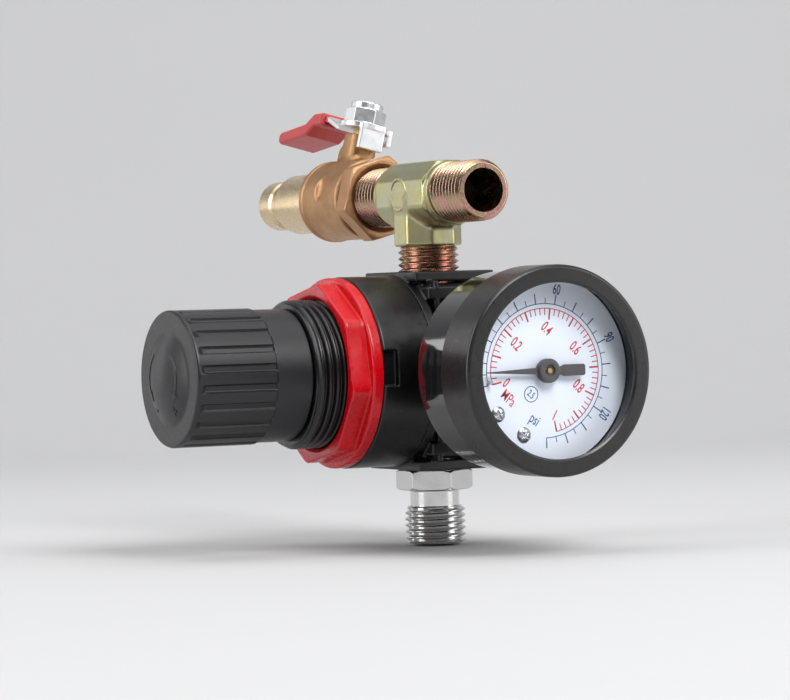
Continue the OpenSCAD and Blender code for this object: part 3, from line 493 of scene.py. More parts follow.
M = {
    "black_casting": material("black_casting_mat", (0.004, 0.004, 0.005), 0.3, grain=0.5, bump=0.006, coarse=0.02, vary=0.2, spec=0.5),
    "black_nylon": material("black_nylon_mat", (0.004, 0.004, 0.005), 0.27, grain=0.4, bump=0.004, coarse=0.012, vary=0.2),
    "red_nylon": material("red_nylon_mat", (0.56, 0.0, 0.006), 0.24, grain=0.5, bump=0.003, coarse=0.012, vary=0.12),
    "grey_knob": material("grey_knob_mat", (0.012, 0.011, 0.013), 0.34, grain=0.22, bump=0.005, vary=0.1),
    "grey_bezel": material("grey_bezel_mat", (0.012, 0.011, 0.012), 0.27, grain=0.22, bump=0.004, vary=0.1),
    "black_enamel": material("black_enamel_mat", (0.008, 0.008, 0.009), 0.06, grain=0.8, bump=0.0015, coarse=0.004, rough_vary=0.03, coat=0.6, coat_rough=0.03),
    "zinc_steel": material("zinc_steel_mat", (0.52, 0.53, 0.55), 0.24, 1.0, grain=0.2, bump=0.003),
    "spring_steel": material("spring_steel_mat", (0.42, 0.42, 0.44), 0.3, 1.0, grain=0.2, bump=0.003),
    "brass": material("brass_mat", (0.62, 0.42, 0.17), 0.26, 1.0, grain=0.3, bump=0.003),
    "rubber": material("rubber_mat", (0.018, 0.018, 0.018), 0.6, grain=0.3, bump=0.01),
    "dial_print": material("dial_face_mat", (0.80, 0.86, 0.97), 0.5, grain=0.15, bump=0.001, vary=0.03, patch=9),
    "dial_red": material("dial_red_mat", (0.62, 0.045, 0.06), 0.5, grain=0.1, bump=0.001),
    "dial_blue": material("dial_blue_mat", (0.030, 0.10, 0.27), 0.5, grain=0.1, bump=0.001),
    "grey_pointer": material("grey_pointer_mat", (0.070, 0.065, 0.070), 0.42, grain=0.15, bump=0.003),
    "yellow_zinc": material("yellow_zinc_mat", (0.40, 0.41, 0.28), 0.32, 1.0, grain=0.35, bump=0.008, coarse=0.02, second=(0.48, 0.43, 0.20), patch=5),
    "zinc_thread": material("zinc_thread_mat", (0.42, 0.35, 0.19), 0.22, 1.0, grain=0.3, bump=0.003, second=(0.60, 0.30, 0.27), patch=3.2),
    "cast_brass": material("cast_brass_mat", (0.40, 0.22, 0.105), 0.42, 1.0, grain=0.28, bump=0.022, coarse=0.05, second=(0.50, 0.30, 0.16), patch=5, rough_vary=0.12),
    "turned_brass": material("turned_brass_mat", (0.70, 0.55, 0.35), 0.22, 1.0, grain=0.5, bump=0.002, turned=1, vary=0.05),
    "chrome_plate": material("chrome_plate_mat", (0.82, 0.83, 0.84), 0.30, 1.0, grain=0.4, bump=0.004, rough_vary=0.08),
    "nickel_plate": material("nickel_plate_mat", (0.66, 0.66, 0.65), 0.13, 1.0, grain=0.6, bump=0.002, rough_vary=0.05),
    "ptfe": material("ptfe_mat", (0.80, 0.80, 0.78), 0.45, grain=0.3, bump=0.003),
    "red_vinyl": material("red_vinyl_mat", (0.50, 0.040, 0.042), 0.34, grain=0.35, bump=0.008, coarse=0.03, vary=0.12),
    "clear_lens": glass_pane(),
}

NODE_FINISH = {
    "body": "black_casting", "bonnet": "black_nylon", "panel_nut": "red_nylon", "knob": "grey_knob",
    "adjusting_screw": "zinc_steel", "spring_nut": "brass", "main_spring": "spring_steel", "pressure_plate": "brass",
    "diaphragm": "rubber", "relief_seat": "brass", "poppet": "brass", "poppet_seal": "rubber",
    "poppet_spring": "spring_steel", "bottom_cap": "black_nylon", "cap_oring": "rubber", "rear_port_plug": "zinc_steel",
    "gauge_socket": "brass", "gauge_case": "black_enamel", "gauge_bezel": "grey_bezel", "gauge_lens": "clear_lens",
    "gauge_dial": "dial_print", "dial_screws": "zinc_steel", "stop_pin": "zinc_steel", "gauge_pointer": "grey_pointer",
    "pointer_arbor": "brass", "movement_frame": "brass", "sector_gear": "brass", "sector_link": "brass",
    "bourdon_tube": "brass", "tee": "yellow_zinc", "valve_body": "cast_brass", "ball": "chrome_plate",
    "front_seat": "ptfe", "rear_seat": "ptfe", "valve_stem": "brass", "stem_oring": "rubber",
    "lever_plate": "chrome_plate", "lever_sleeve": "red_vinyl", "lock_nut": "chrome_plate",
    "valve_tail": "turned_brass", "outlet_nipple": "nickel_plate",
}
SLOT_NAMES = {s.get("slot") for s in frame["record"].get("materials", [])}

for node_name, finish in NODE_FINISH.items():
    o = NODES[node_name]
    o.data.materials.clear()
    o.data.materials.append(M[finish])


def slotted(obj):
    return obj


# ---------------------------------------------------------------- regulator

def build_body():
    lo, hi = span("body")
    seam, rear, port = lo[0], hi[0], hi[2]
    ring_r, boss_y = 20.5, hi[1]
    _, cap_hi = span("bottom_cap")

    def f(p):
        x, y, z = p[:, 0], p[:, 1], p[:, 2]
        ay, az = np.abs(y), np.abs(z)
        q = np.stack([x, ay, az], 1)
        d = d_tube(p, 0, (seam + 0.15, 0, 0), ring_r, 2.1 - 0.15 + 0.15, 0.35)
        d = np.maximum(d, seam - x)
        core = d_box(q, (0.6, 0, 0), (9.0, 11.0, port - 2.4), 0.8)
        web = d_box(q, (0.6, 0, 0), (8.95, 15.0, 11.6), 0.9)
        d = smin(d, smin(core, web, 1.0), 0.9)
        plate = d_box(q, (0, 0, port - 1.1), (9.6, 11.5, 1.1), 0.35)
        shelf = d_box(q, (0.6, 13.0, 16.55), (9.0, 2.0, 1.45), 0.45)
        inner = d_box(q, (0.6, 12.0, 14.0), (8.4, 1.2, 4.2), 0.4)
        rib = d_box(q, (-6.4, 13.0, 15.2), (0.6, 2.0, 4.0), 0.3)
        rib2 = d_box(q, (8.4, 13.0, 15.2), (0.6, 2.0, 4.0), 0.3)
        d = smin(d, np.minimum(np.minimum(shelf, inner), np.minimum(rib, rib2)), 0.35)
        d = smin(d, plate, 0.4)
        boss = d_tube(q, 1, (0, 0, 0), 9.0, boss_y, 0.5)
        back = d_tube(p, 0, (rear - 8, 0, 0), 13.0, 8.0, 0.6)
        d = smin(d, boss, 1.2)
        d = smin(d, back, 1.0)
        cut = d_tube(p, 0, (seam, 0, 0), 15.1, 3.0)
        cut = np.minimum(cut, d_tube(p, 0, ((seam - 1.2) / 2, 0, 0), 6.0, (-1.2 - seam) / 2))
        cut = np.minimum(cut, d_tube(p, 0, (0.5, 0, 0), 2.6, 2.4))
        inlet = d_tube(p, 0, (5.9, 0, 0), 6.5, 4.1)
        lip = np.maximum(vlen(y, z) - 3.4, np.abs(x - 1.8) - 0.5)
        cut = np.minimum(cut, np.maximum(inlet, -lip))
        cut = np.minimum(cut, d_tube(p, 0, (rear, 0, 0), 8.0, rear - 8.5))
        cut = np.minimum(cut, d_tube(q, 2, (0, 0, port), 6.63, 10.0, 0.0))
        cut = np.minimum(cut, vlen(x, y) - 6.63 - np.maximum(0, 0.9 - (port - az)) if False else np.maximum(vlen(x, y) - 7.4 + (port - az), port - 2.2 - az))
        cut = np.minimum(cut, np.maximum(d_tube(p, 2, (4, 0, 8), 2.4, 4.5), -z))
        cut = np.minimum(cut, np.maximum(d_tube(p, 2, (-4, 0, -8), 2.4, 4.5), z))
        cut = np.minimum(cut, d_tube(q, 1, (0, 0, boss_y), 4.92, boss_y - 10))
        cut = np.minimum(cut, d_tube(p, 1, (-3.5, -5.5, 0), 1.2, 6))
        return smax(d, -cut, 0.15)
    o = field_piece("regulator_body", f, (seam - 1, -boss_y - 1, -port - 1), (rear + 1, boss_y + 1, port + 1), 0.36,
                    M["black_casting"], "regulator", ("body",))
    slotted(o)


def build_bonnet():
    lo, hi = span("bonnet")
    seam = hi[0]
    nut_lo, nut_hi = span("panel_nut")
    back = nut_hi[0]
    r = hi[1]

    def f(p):
        x, y, z = p[:, 0], p[:, 1], p[:, 2]
        d = d_tube(p, 0, ((back + seam) / 2 + 1, 0, 0), r, (seam - back) / 2 + 1, 0.45)
        d = np.maximum(d, x - seam)
        notch = d_box(p, (back, -r, 1.1), (3.4, 1.6, 3.7), 0.25)
        d = smax(d, -notch, 0.2)
        inner = d_tube(p, 0, ((back + 2 + seam) / 2 + 1, 0, 0), 15.1, (seam - back - 2) / 2 + 1)
        seat = d_tube(p, 0, (seam, 0, 0), 18.05, 1.4)
        throat = vlen(y, z) - 10.7
        vent = np.maximum(vlen(x - back - 6, z) - 0.8, -y)
        return smax(d, -np.minimum(np.minimum(inner, seat), np.minimum(throat, vent)), 0.1)
    o = field_piece("spring_housing", f, (back - 1, -r - 1, -r - 1), (seam + 1, r + 1, r + 1), 0.34,
                    M["black_nylon"], "regulator", ("bonnet",))
    slotted(o)
    collar = span("knob")[1][0] + 0.2
    neck = lo[0]
    pr = 15.85
    t = thread(pr, 1.75, 0.85, collar, back + 1.9, 10.7, lead=(1.3, 3.0), crest=0.34, root=0.14, before=[(10.7, neck + 1.5), (3.06, neck + 1.5), (3.06, neck), (11.6, neck), (12.0, neck + 0.4), (12.0, collar), (14.9, collar)], after=[], n=144)
    v, q = place(t, (0, 0, 0), (1, 0, 0))
    o = finish_mesh("panel_thread", v, q, M["black_nylon"], "regulator", ("bonnet",), sharp=50)
    slotted(o)


def build_nut():
    lo, hi = span("panel_nut")
    corner, flange_r = 19.6, 20.35
    af = 2 * corner * math.cos(math.pi / 8)
    flat_back = hi[0] - 2.6
    turn = math.radians(90 - 33.7)

    def f(p):
        x, y, z = p[:, 0], p[:, 1], p[:, 2]
        # corners point at angle turn from -Z towards... the same clock as the CAD nut
        w = np.stack([x, y, z], 1)
        a = np.arctan2(y, -z) - turn
        rho = vlen(y, z)
        k = np.mod(a, math.pi / 4) - math.pi / 8
        flat = rho * np.cos(k) - af / 2
        flat = smax(flat, rho - corner + 0.12, 0.3)
        block = smax(flat, lo[0] - x, 0.3)
        block = smax(block, (rho - (x - lo[0]) * 1.0 - corner + 0.45) * 0.707, 0.15)
        block = np.maximum(block, x - flat_back - 0.5)
        flange = d_tube(w, 0, ((flat_back + hi[0]) / 2, 0, 0), flange_r, (hi[0] - flat_back) / 2, 0.5)
        d = smin(block, flange, 0.35)
        bore = np.minimum(rho - 15.95, (rho - 16.7 + (x - lo[0])) * 0.707)
        return smax(d, -bore, 0.15)
    o = field_piece("panel_nut_red", f, (lo[0] - 1, -flange_r - 1, -flange_r - 1), (hi[0] + 1, flange_r + 1, flange_r + 1), 0.27,
                    M["red_nylon"], "regulator", ("panel_nut",))
    slotted(o)


def build_knob():
    lo, hi = span("knob")
    dome = 2.3
    face, end, r = lo[0] + dome, hi[0], hi[1]
    length = end - face
    land = length * 0.68
    skirt_r = r - 0.35
    grooves, per = 22, 22
    n = grooves * per
    th = np.arange(n) * 2 * np.pi / n
    u = (np.mod(th + np.pi / grooves, 2 * np.pi / grooves) - np.pi / grooves) * r
    half_w, depth = 0.875, 0.6
    wall = 0.22
    cut = np.clip((half_w - np.abs(u)) / wall, 0, 1)
    cut = cut * cut * (3 - 2 * cut)
    inner = 12.5
    hub_end = end - 9.4 - 1.5
    prof = [(0.02, face + 2.5), (3.5, face + 2.5), (3.5, hub_end), (6, hub_end), (6, face + 2.5), (inner, face + 2.5),
            (inner, end - 0.3), (inner + 0.3, end), (skirt_r - 0.3, end)]
    rows = [(a, b, 0.0) for a, b in prof]
    for k in range(5):
        t = math.pi / 2 * k / 4
        rows.append((skirt_r - 0.3 + 0.3 * math.sin(t), end - 0.3 + 0.3 * math.cos(t), 0.0))
    rows += [(skirt_r, face + land + 0.5, 0.0), (skirt_r, face + land + 0.36, 0.0), (skirt_r + 0.03, face + land + 0.28, 0.25),
             (skirt_r + 0.2, face + land + 0.2, 0.6), (r - 0.06, face + land + 0.1, 0.95), (r, face + land, 1.0), (r, face + land - 0.2, 1.0)]
    for x in np.linspace(face + land - 1.2, face + 3.0, 12):
        rows.append((r, x, 1.0))
    for x, k in ((2.4, 1.0), (2.1, 0.97), (1.9, 0.88), (1.6, 0.62), (1.3, 0.34), (1.05, 0.12), (0.85, 0.03), (0.7, 0.0)):
        rows.append((r, face + x, k))
    for k in range(1, 9):
        t = math.pi / 2 * k / 8
        rows.append((r - 0.65 + 0.65 * math.cos(t), face + 0.65 - 0.65 * math.sin(t), 0.0))
    rows += [(x, face, 0.0) for x in (13.2, 12.4, 11.2, 10.5)]
    rd = 10.0
    curve = (rd * rd + dome * dome) / (2 * dome)
    def dome_x(q):
        return face - (np.sqrt(np.maximum(curve * curve - q * q, 0)) - (curve - dome))
    rows += [(10.18, face - 0.01, 0.0), (10.0, face - 0.05, 0.0)]
    for q in np.linspace(9.8, 0.3, 22):
        rows.append((q, float(dome_x(q)), 0.0))
    rows.append((0.02, face - dome, 0.0))
    rings = []
    for rad, x, k in rows:
        rr = rad - depth * cut * k if k else np.full(n, rad)
        rings.append(np.stack([np.full(n, x), rr * np.sin(th), rr * np.cos(th)], 1))
    v, q = loft(rings)
    o = finish_mesh("knob_grip", v, q, M["grey_knob"], "knob", ("knob",), sharp=60)
    slotted(o)

    marks = []
    high = 0.16

    def strip(points, widths):
        """A raised band along a path on the dome; points are (y, z)."""
        pts = np.array(points, float)
        d = np.gradient(pts, axis=0)
        d /= np.linalg.norm(d, axis=1)[:, None]
        side = np.stack([-d[:, 1], d[:, 0]], 1)
        rings = []
        for p, s, w in zip(pts, side, widths):
            ring = []
            for off, up in ((-w / 2, -0.3), (-w / 2, high - 0.04), (-w / 2 + 0.05, high), (w / 2 - 0.05, high), (w / 2, high - 0.04), (w / 2, -0.3)):
                if w < 0.12:
                    off = off * 0.5
                c = p + s * off
                ring.append((float(dome_x(np.hypot(*c))) - up, c[0], c[1]))
            rings.append(np.array(ring))
        marks.append(loft(rings))
    for sgn in (-1, 1):
        a = np.linspace(math.radians(52), math.radians(-30), 25)
        strip([(sgn * 6.5 * math.cos(t), 6.5 * math.sin(t)) for t in a], [0.55] * 25)
        tip = math.radians(-44)
        base = math.radians(-27)
        a = np.linspace(base, tip, 7)
        strip([(sgn * 6.5 * math.cos(t), 6.5 * math.sin(t)) for t in a], list(np.linspace(2.1, 0.1, 7)))
        cy = sgn * 4.3
        strip([(cy - 0.9, -6.6), (cy, -6.6), (cy + 0.9, -6.6)], [0.5] * 3)
    strip([(-4.3, -7.5), (-4.3, -6.6), (-4.3, -5.7)], [0.5] * 3)
    v, q = joined(marks)
    o = finish_mesh("knob_marks", v, q, M["grey_knob"], "knob", ("knob",), sharp=50)
    slotted(o)


def build_rear():
    lo, hi = span("bottom_cap")
    top = hi[0]

    def f(p):
        x, y, z = p[:, 0], p[:, 1], p[:, 2]
        d = d_tube(p, 0, ((14.1 + top) / 2, 0, 0), 12.0, (top - 14.1) / 2, 0.8)
        d = np.minimum(d, d_tube(p, 0, ((lo[0] + 15) / 2, 0, 0), 7.9, (15 - lo[0]) / 2, 0.2))
        rho = vlen(y, z)
        d = np.maximum(d, -(np.maximum(rho - 5.2, x - 15)))
        d = np.maximum(d, -(np.maximum(rho - 1.96, x - top + 1.6)))
        groove = np.maximum(np.abs(x - 11.6) - 0.9, 6.9 - rho)
        d = np.maximum(d, -groove)
        slot = d_box(p, (top, 0, 0), (1.2, 20, 1.2), 0.15)
        return smax(d, -slot, 0.2)
    o = field_piece("bottom_plug", f, (lo[0] - 1, -13, -13), (top + 1, 13, 13), 0.3, M["black_nylon"], "regulator", ("bottom_cap",))
    slotted(o)


# ---------------------------------------------------------------- gauge

def build_gauge():
    c_lo, c_hi = span("gauge_case")
    b_lo, b_hi = span("gauge_bezel")
    front, back = b_lo[1], c_hi[1]
    R = b_hi[0]
    case_r = c_hi[0]
    depth_case = back - c_lo[1]
    bore = case_r - 1
    # case: open-fronted cup, heights measured from its back towards the viewer
    prof = rounded([(5.05, 0), (case_r, 0), (case_r, depth_case), (bore, depth_case), (bore, 1.2), (5.05, 1.2)],
                   [0.1, 1.1, 0.15, 0.15, 0.6, 0.1], 7)
    v, q = place(spin(prof, 144), (0, back, 0), (0, -1, 0))
    o = finish_mesh("gauge_shell", v, q, M["black_enamel"], "regulator", ("gauge_case",), sharp=50)
    slotted(o)
    # bezel: rolled ring, heights measured from its front face backwards
    depth = b_hi[1] - front
    win = R - 3.7
    prof = rounded([(win, 0.25), (win + 0.45, 0), (R, 0), (R, depth - 0.2), (R - 0.22, depth), (case_r + 0.05, depth), (case_r + 0.05, 0.9), (win, 0.9)],
                   [0.12, 0.12, 0.85, 0.2, 0.1, 0.08, 0.08, 0.12], 8)
    v, q = place(spin(prof, 160), (0, front, 0), (0, 1, 0))
    o = finish_mesh("gauge_bezel_ring", v, q, M["grey_bezel"], "regulator", ("gauge_bezel",), sharp=50)
    slotted(o)
    # lens with a faint moulded step near its edge
    l_lo, l_hi = span("gauge_lens")
    t = l_hi[1] - l_lo[1]
    prof = rounded([(0.02, 0), (17.0, 0), (17.15, 0.12), (17.5, 0.12), (l_hi[0], 0.0), (l_hi[0], t), (0.02, t)], [0, 0, 0, 0, 0.05, 0.05, 0], 2)
    v, q = place(spin(prof, 128), (0, l_lo[1], 0), (0, 1, 0))
    o = finish_mesh("gauge_window", v, q, M["clear_lens"], "regulator", ("gauge_lens",), sharp=30)
    slotted(o)
    # dial plate
    d_lo, d_hi = span("gauge_dial")
    face = d_lo[1]
    dr = d_hi[0]
    prof = rounded([(1.2, 0), (dr, 0), (dr, 0.5), (1.2, 0.5)], 0.08, 2)
    v, q = place(spin(prof, 128), (0, face, 0), (0, 1, 0))
    o = finish_mesh("dial_plate", v, q, M["dial_print"], "regulator", ("gauge_dial",), sharp=40)
    slotted(o)
    ink = 0.03

    def at(ang):
        """Unit vector on the dial for a scale angle, clockwise seen from the front; the scales start 11 degrees below -X."""
        a = math.radians(191 - ang)
        return np.array([math.cos(a), math.sin(a)])

    def bar(ang, r0, r1, w):
        d = at(ang)
        s = np.array([-d[1], d[0]]) * w / 2
        pts = [d * r0 - s, d * r1 - s, d * r1 + s, d * r0 + s]
        top = [(p[0], face - ink, p[1]) for p in pts]
        low = [(p[0], face + 0.01, p[1]) for p in pts]
        return np.array(top + low), [(0, 1, 2, 3), (7, 6, 5, 4), (0, 4, 5, 1), (1, 5, 6, 2), (2, 6, 7, 3), (3, 7, 4, 0)]

    def arc(r, w, a0, a1, steps=180):
        rings = []
        for k in range(steps + 1):
            d = at(a0 + (a1 - a0) * k / steps)
            rings.append(np.array([(d[0] * q, y, d[1] * q) for q, y in ((r - w / 2, face + 0.01), (r - w / 2, face - ink), (r + w / 2, face - ink), (r + w / 2, face + 0.01))]))
        return loft(rings)

    def words(text, centre, size, turn, squeeze=0.7, heavy=0.0):
        cu = bpy.data.curves.new("ink", "FONT")
        cu.body = text
        cu.size = size * 1.37
        cu.extrude = ink / 2
        cu.offset = heavy
        cu.resolution_u = 4
        ob = bpy.data.objects.new("ink", cu)
        me = ob.to_mesh()
        v = np.array([w.co[:] for w in me.vertices])
        fs = [tuple(p.vertices) for p in me.polygons]
        ob.to_mesh_clear()
        bpy.data.objects.remove(ob)
        mid = (v.max(0) + v.min(0)) / 2
        v = (v - mid) * [squeeze, 1, 1]
        c, s = math.cos(math.radians(turn)), math.sin(math.radians(turn))
        x = v[:, 0] * c - v[:, 1] * s + centre[0]
        z = v[:, 0] * s + v[:, 1] * c + centre[1]
        return np.stack([x, face - ink / 2 - v[:, 2], z], 1), fs

    red, blue = [], []
    sweep = 270.0
    red.append(arc(12.8, 0.18, 0, sweep))
    for k in range(51):
        ang = sweep * k / 50
        long = k % 10 == 0
        mid = k % 5 == 0
        red.append(bar(ang, 12.8 - (2.3 if long else 2.1 if mid else 1.4), 12.8, 0.34 if mid else 0.2))
    for k in range(0, 6):
        ang = sweep * k / 5
        d = at(ang - 2) * (8.7 if 0 < k < 5 else 9.4)
        label = "0" if k == 0 else ("1" if k == 5 else f"0.{2 * k}")
        red.append(words(label, d, 2.3, -45 if k < 5 else -30, 0.62, 0.05))
    psi = 281.0 / 150
    blue.append(arc(13.75, 0.18, 0, 150 * psi))
    for k in range(31):
        blue.append(bar(k * 5 * psi, 13.75, 13.75 + (1.2 if k % 2 else 2.1), 0.17 if k % 2 else 0.24))
    for val in (30, 60, 90, 120):
        ang = val * psi
        blue.append(words(str(val), at(ang) * 16.95, 2.2, 101 - ang, 0.6, 0.045))
    red.append(words("MPa", (-8.7, -5.3), 2.3, -42, 0.66, 0.015))
    blue.append(words("psi", (-2.9, -10.2), 2.3, -36, 0.66, 0.02))
    c25 = (-3.4, -4.7)
    blue.append(words("2.5", c25, 1.5, -42, 0.66, 0.02))
    rings = []
    for j in range(40):
        a = 2 * math.pi * j / 40
        rings.append(np.array([(c25[0] + q * math.cos(a), y, c25[1] + q * math.sin(a)) for q, y in ((1.5, face + 0.01), (1.5, face - ink), (1.68, face - ink), (1.68, face + 0.01))]))
    blue.append(loft(rings, closed=True))
    for nm, part, mt in (("dial_marks_red", red, "dial_red"), ("dial_marks_blue", blue, "dial_blue")):
        v, q = joined(part)
        o = finish_mesh(nm, v, q, M[mt], "regulator", ("gauge_dial",), sharp=30, weld=False)
        slotted(o)
    # pointer: tapered hand, flat counterweight, turned hub with a brass pin in it
    p_lo, p_hi = span("gauge_pointer")
    py = -49.2 if False else p_hi[1]
    reach = p_lo[0]
    half = [(reach, 0.1), (-9.0, 0.36), (-2.4, 0.7), (2.4, 0.62), (3.3, 0.95), (3.7, 1.18), (8.5, 1.18), (8.78, 0.9)]
    rings = []
    hub_base = span("gauge_dial")[0][1] - 1.2
    for x, w in half:
        rings.append(np.array([(x, hub_base, -w), (x, hub_base - 0.27, -w), (x, hub_base - 0.35, -w + 0.07), (x, hub_base - 0.35, w - 0.07), (x, hub_base - 0.27, w), (x, hub_base, w)]))
    v, q = loft(rings)
    hand = (v, q)
    prof = rounded([(0.62, 0), (2.5, 0), (2.5, 1.6), (1.9, 1.9) if False else (1.2, 1.6), (1.2, 1.15), (0.62, 1.15)], [0.05, 0.1, 0.3, 0.15, 0.1, 0.05], 4)
    hub = place(spin(prof, 72), (0, hub_base + 0.6, 0), (0, -1, 0))
    v, q = joined([hand, hub])
    o = finish_mesh("pointer_hand", v, q, M["grey_pointer"], "pointer", ("gauge_pointer",), sharp=40)
    slotted(o)


def build_screws():
    for k, (x0, z0) in enumerate(((-11.3, -8.55), (-5.35, -13.0))):
        face = span("gauge_dial")[0][1]

        def f(p):
            q = p - np.array([x0, face, z0])
            rho = vlen(q[:, 0], q[:, 2])
            ball = vlen(rho, q[:, 1] - 1.75) - 2.44
            d = smax(np.maximum(rho - 1.65, ball), q[:, 1] + 0.02, 0.05)
            a = math.radians(20 + 25 * k)
            u = q[:, 0] * math.cos(a) + q[:, 2] * math.sin(a)
            w = -q[:, 0] * math.sin(a) + q[:, 2] * math.cos(a)
            cross = np.minimum(np.maximum(np.abs(u) - 1.0, np.abs(w) - 0.2), np.maximum(np.abs(w) - 1.0, np.abs(u) - 0.2))
            cross = np.maximum(cross, q[:, 1] + 0.28)
            shank = np.maximum(rho - 0.8, np.maximum(-q[:, 1] - 0.1, q[:, 1] - 2.1))
            return np.minimum(smax(d, -cross, 0.05), shank)
        o = field_piece(f"dial_screw_{k + 1}", f, (x0 - 2, face - 1.2, z0 - 2), (x0 + 2, face + 2.4, z0 + 2), 0.075, M["zinc_steel"], "regulator", ("dial_screws",))
        slotted(o)


# ---------------------------------------------------------------- tee, valve, nipple

def build_tee():
    lo, hi = span("tee")
    zc = 38.0 if False else (hi[2] + 0) - (hi[2] - 38.0)
    reach = hi[1]
    r_pipe = 6.5785
    bore = 4.7

    def f(p):
        x, y, z = p[:, 0], p[:, 1], p[:, 2] - zc
        q = np.stack([x, y, z], 1)
        run = d_prism(q, 1, (0, 0, 0), 8, 14.0, 10.6, 0, 0.5, 0.35)
        cone = (vlen(x, z) - 7.3 - (10.6 - np.abs(y)) * 1.2) * 0.64
        run = smax(run, cone, 0.3)
        collar = d_tube(q, 1, (0, 0, 0), 6.8, 12.3, 0.5)
        branch = d_prism(q, 2, (0, 0, -5.6), 8, 13.7, 5.6, 0, 0.5, 0.35)
        cone2 = (vlen(x, y) - 7.15 - (z + 11.2) * 1.2) * 0.64
        branch = smax(branch, cone2, 0.3)
        d = smin(smin(run, collar, 0.4), branch, 1.2)
        mark = np.maximum(np.abs(vlen(y, z) - 3.35) - 0.25, np.maximum(-x - 7.25, x + 6.5))
        d = smin(d, mark, 0.12)
        cut = vlen(x, z) - bore
        cut = np.minimum(cut, np.maximum(vlen(x, y) - bore, z))
        return smax(d, -cut, 0.3)
    o = field_piece("tee_block", f, (-9, -13.3, zc - 12.2), (9, 13.3, zc + 9), 0.26, M["yellow_zinc"], "regulator", ("tee",))
    slotted(o)
    for nm, z_axis, origin, s0, s1 in (("tee_thread_front", (0, -1, 0), (0, 0, zc), 12.2, reach), ("tee_thread_rear", (0, 1, 0), (0, 0, zc), 12.2, reach),
                                      ("tee_thread_branch", (0, 0, -1), (0, 0, zc), 11.1, zc - lo[2])):
        v, q = place(thread(r_pipe, 1.337, 0.80, s0, s1, bore, lead=(1.2, 0.9), before=[(5.6, s0)], after=[(5.6, s1), (5.2, s1)]), origin, z_axis)
        o = finish_mesh(nm, v, q, M["zinc_thread"], "regulator", ("tee",), sharp=50)
        slotted(o)


CLOCK = math.radians(14)
VALVE_AT = np.array([0, 36.3, 38.0])
VALVE_ROWS = np.array([[math.cos(CLOCK), 0, -math.sin(CLOCK)], [0, 1, 0], [math.sin(CLOCK), 0, math.cos(CLOCK)]])
VALVE = (VALVE_AT, VALVE_ROWS)


def build_valve():
    def f(p):
        x, y, z = p[:, 0], p[:, 1], p[:, 2]
        rho = vlen(x, z)
        hexa = d_prism(p, 1, (0, -13.4, 0), 6, 17.0, 2.4, math.pi / 6 + math.pi / 6, 0.3, 0.35)
        cone = (rho - 8.95 - (y + 15.8) * 1.5) * 0.55
        hexa = smax(hexa, cone, 0.35)
        barrel = d_tube(p, 1, (0, -1.5, 0), 8.9, 8.9, 0.9)
        rim = d_tube(p, 1, (0, 6.7, 0), 9.2, 0.7, 0.4)
        d = smin(smin(hexa, barrel, 0.8), rim, 0.3)
        tower = smax(d_box(p, (0, 0, 7.5), (3.5, 3.25, 7.5), 0.5), vlen(x, y) - 3.8, 0.4)
        tower = smax(tower, z - 15, 0.3)
        d = smin(d, tower, 1.6)
        fin_poly = smax(smax(z - 14.4 + np.maximum(y - 5.2, 0) * 0.8, y - 8.2, 0.8), np.abs(x) - 1.0, 0.35)
        fin = np.maximum(np.maximum(fin_poly, -z), -y)
        d = smin(d, fin, 0.9)
        dent = vlen(x + 9.6, (y + 1.6) * 0.9, (z - 1.0) * 0.45) - 1.75
        d = smax(d, -dent, 0.3)
        cut = np.maximum(rho - 6.63, y + 5.4)
        cut = np.minimum(cut, (rho - 7.6 + (y + 15.8)) * 0.707)
        cut = np.minimum(cut, rho - 3.0)
        cut = np.minimum(cut, np.maximum(rho - 6.2, -5.3 - y))
        stem = vlen(x, y)
        cut = np.minimum(cut, np.maximum(stem - 2.26, -z))
        cut = np.minimum(cut, np.maximum(stem - 3.05, np.maximum(z - 6.9, -z)))
        cut = np.minimum(cut, np.maximum(stem - 3.0, np.abs(z - 10.3) - 0.9))
        return smax(d, -cut, 0.12)
    o = field_piece("valve_forging", f, (-10.6, -16.8, -10.6), (10.6, 8.4, 16), 0.29, M["cast_brass"], "regulator", ("valve_body",), VALVE)
    slotted(o)
    # tail, turned; heights along +Y from the ball centre
    prof = rounded([(3.0, 5.3), (6.15, 5.3), (6.15, 7.4), (6.0, 7.4), (6.0, 10.5), (6.8, 11.1), (6.8, 24.7), (5.2, 24.7), (5.2, 29.2), (5.7, 29.9), (5.7, 35.2), (3.0, 35.2)],
                   [0.1, 0.1, 0.03, 0.03, 0.3, 0.3, 0.55, 0.3, 0.4, 0.3, 0.6, 0.35], 5)
    v, q = spin(prof, 128)
    v, q = place((v, q), (0, 0, 0), (0, 1, 0), (1, 0, 0))
    o = finish_mesh("valve_tailpiece", v @ VALVE_ROWS + VALVE_AT, q, M["turned_brass"], "regulator", ("valve_tail",), sharp=40)
    slotted(o)


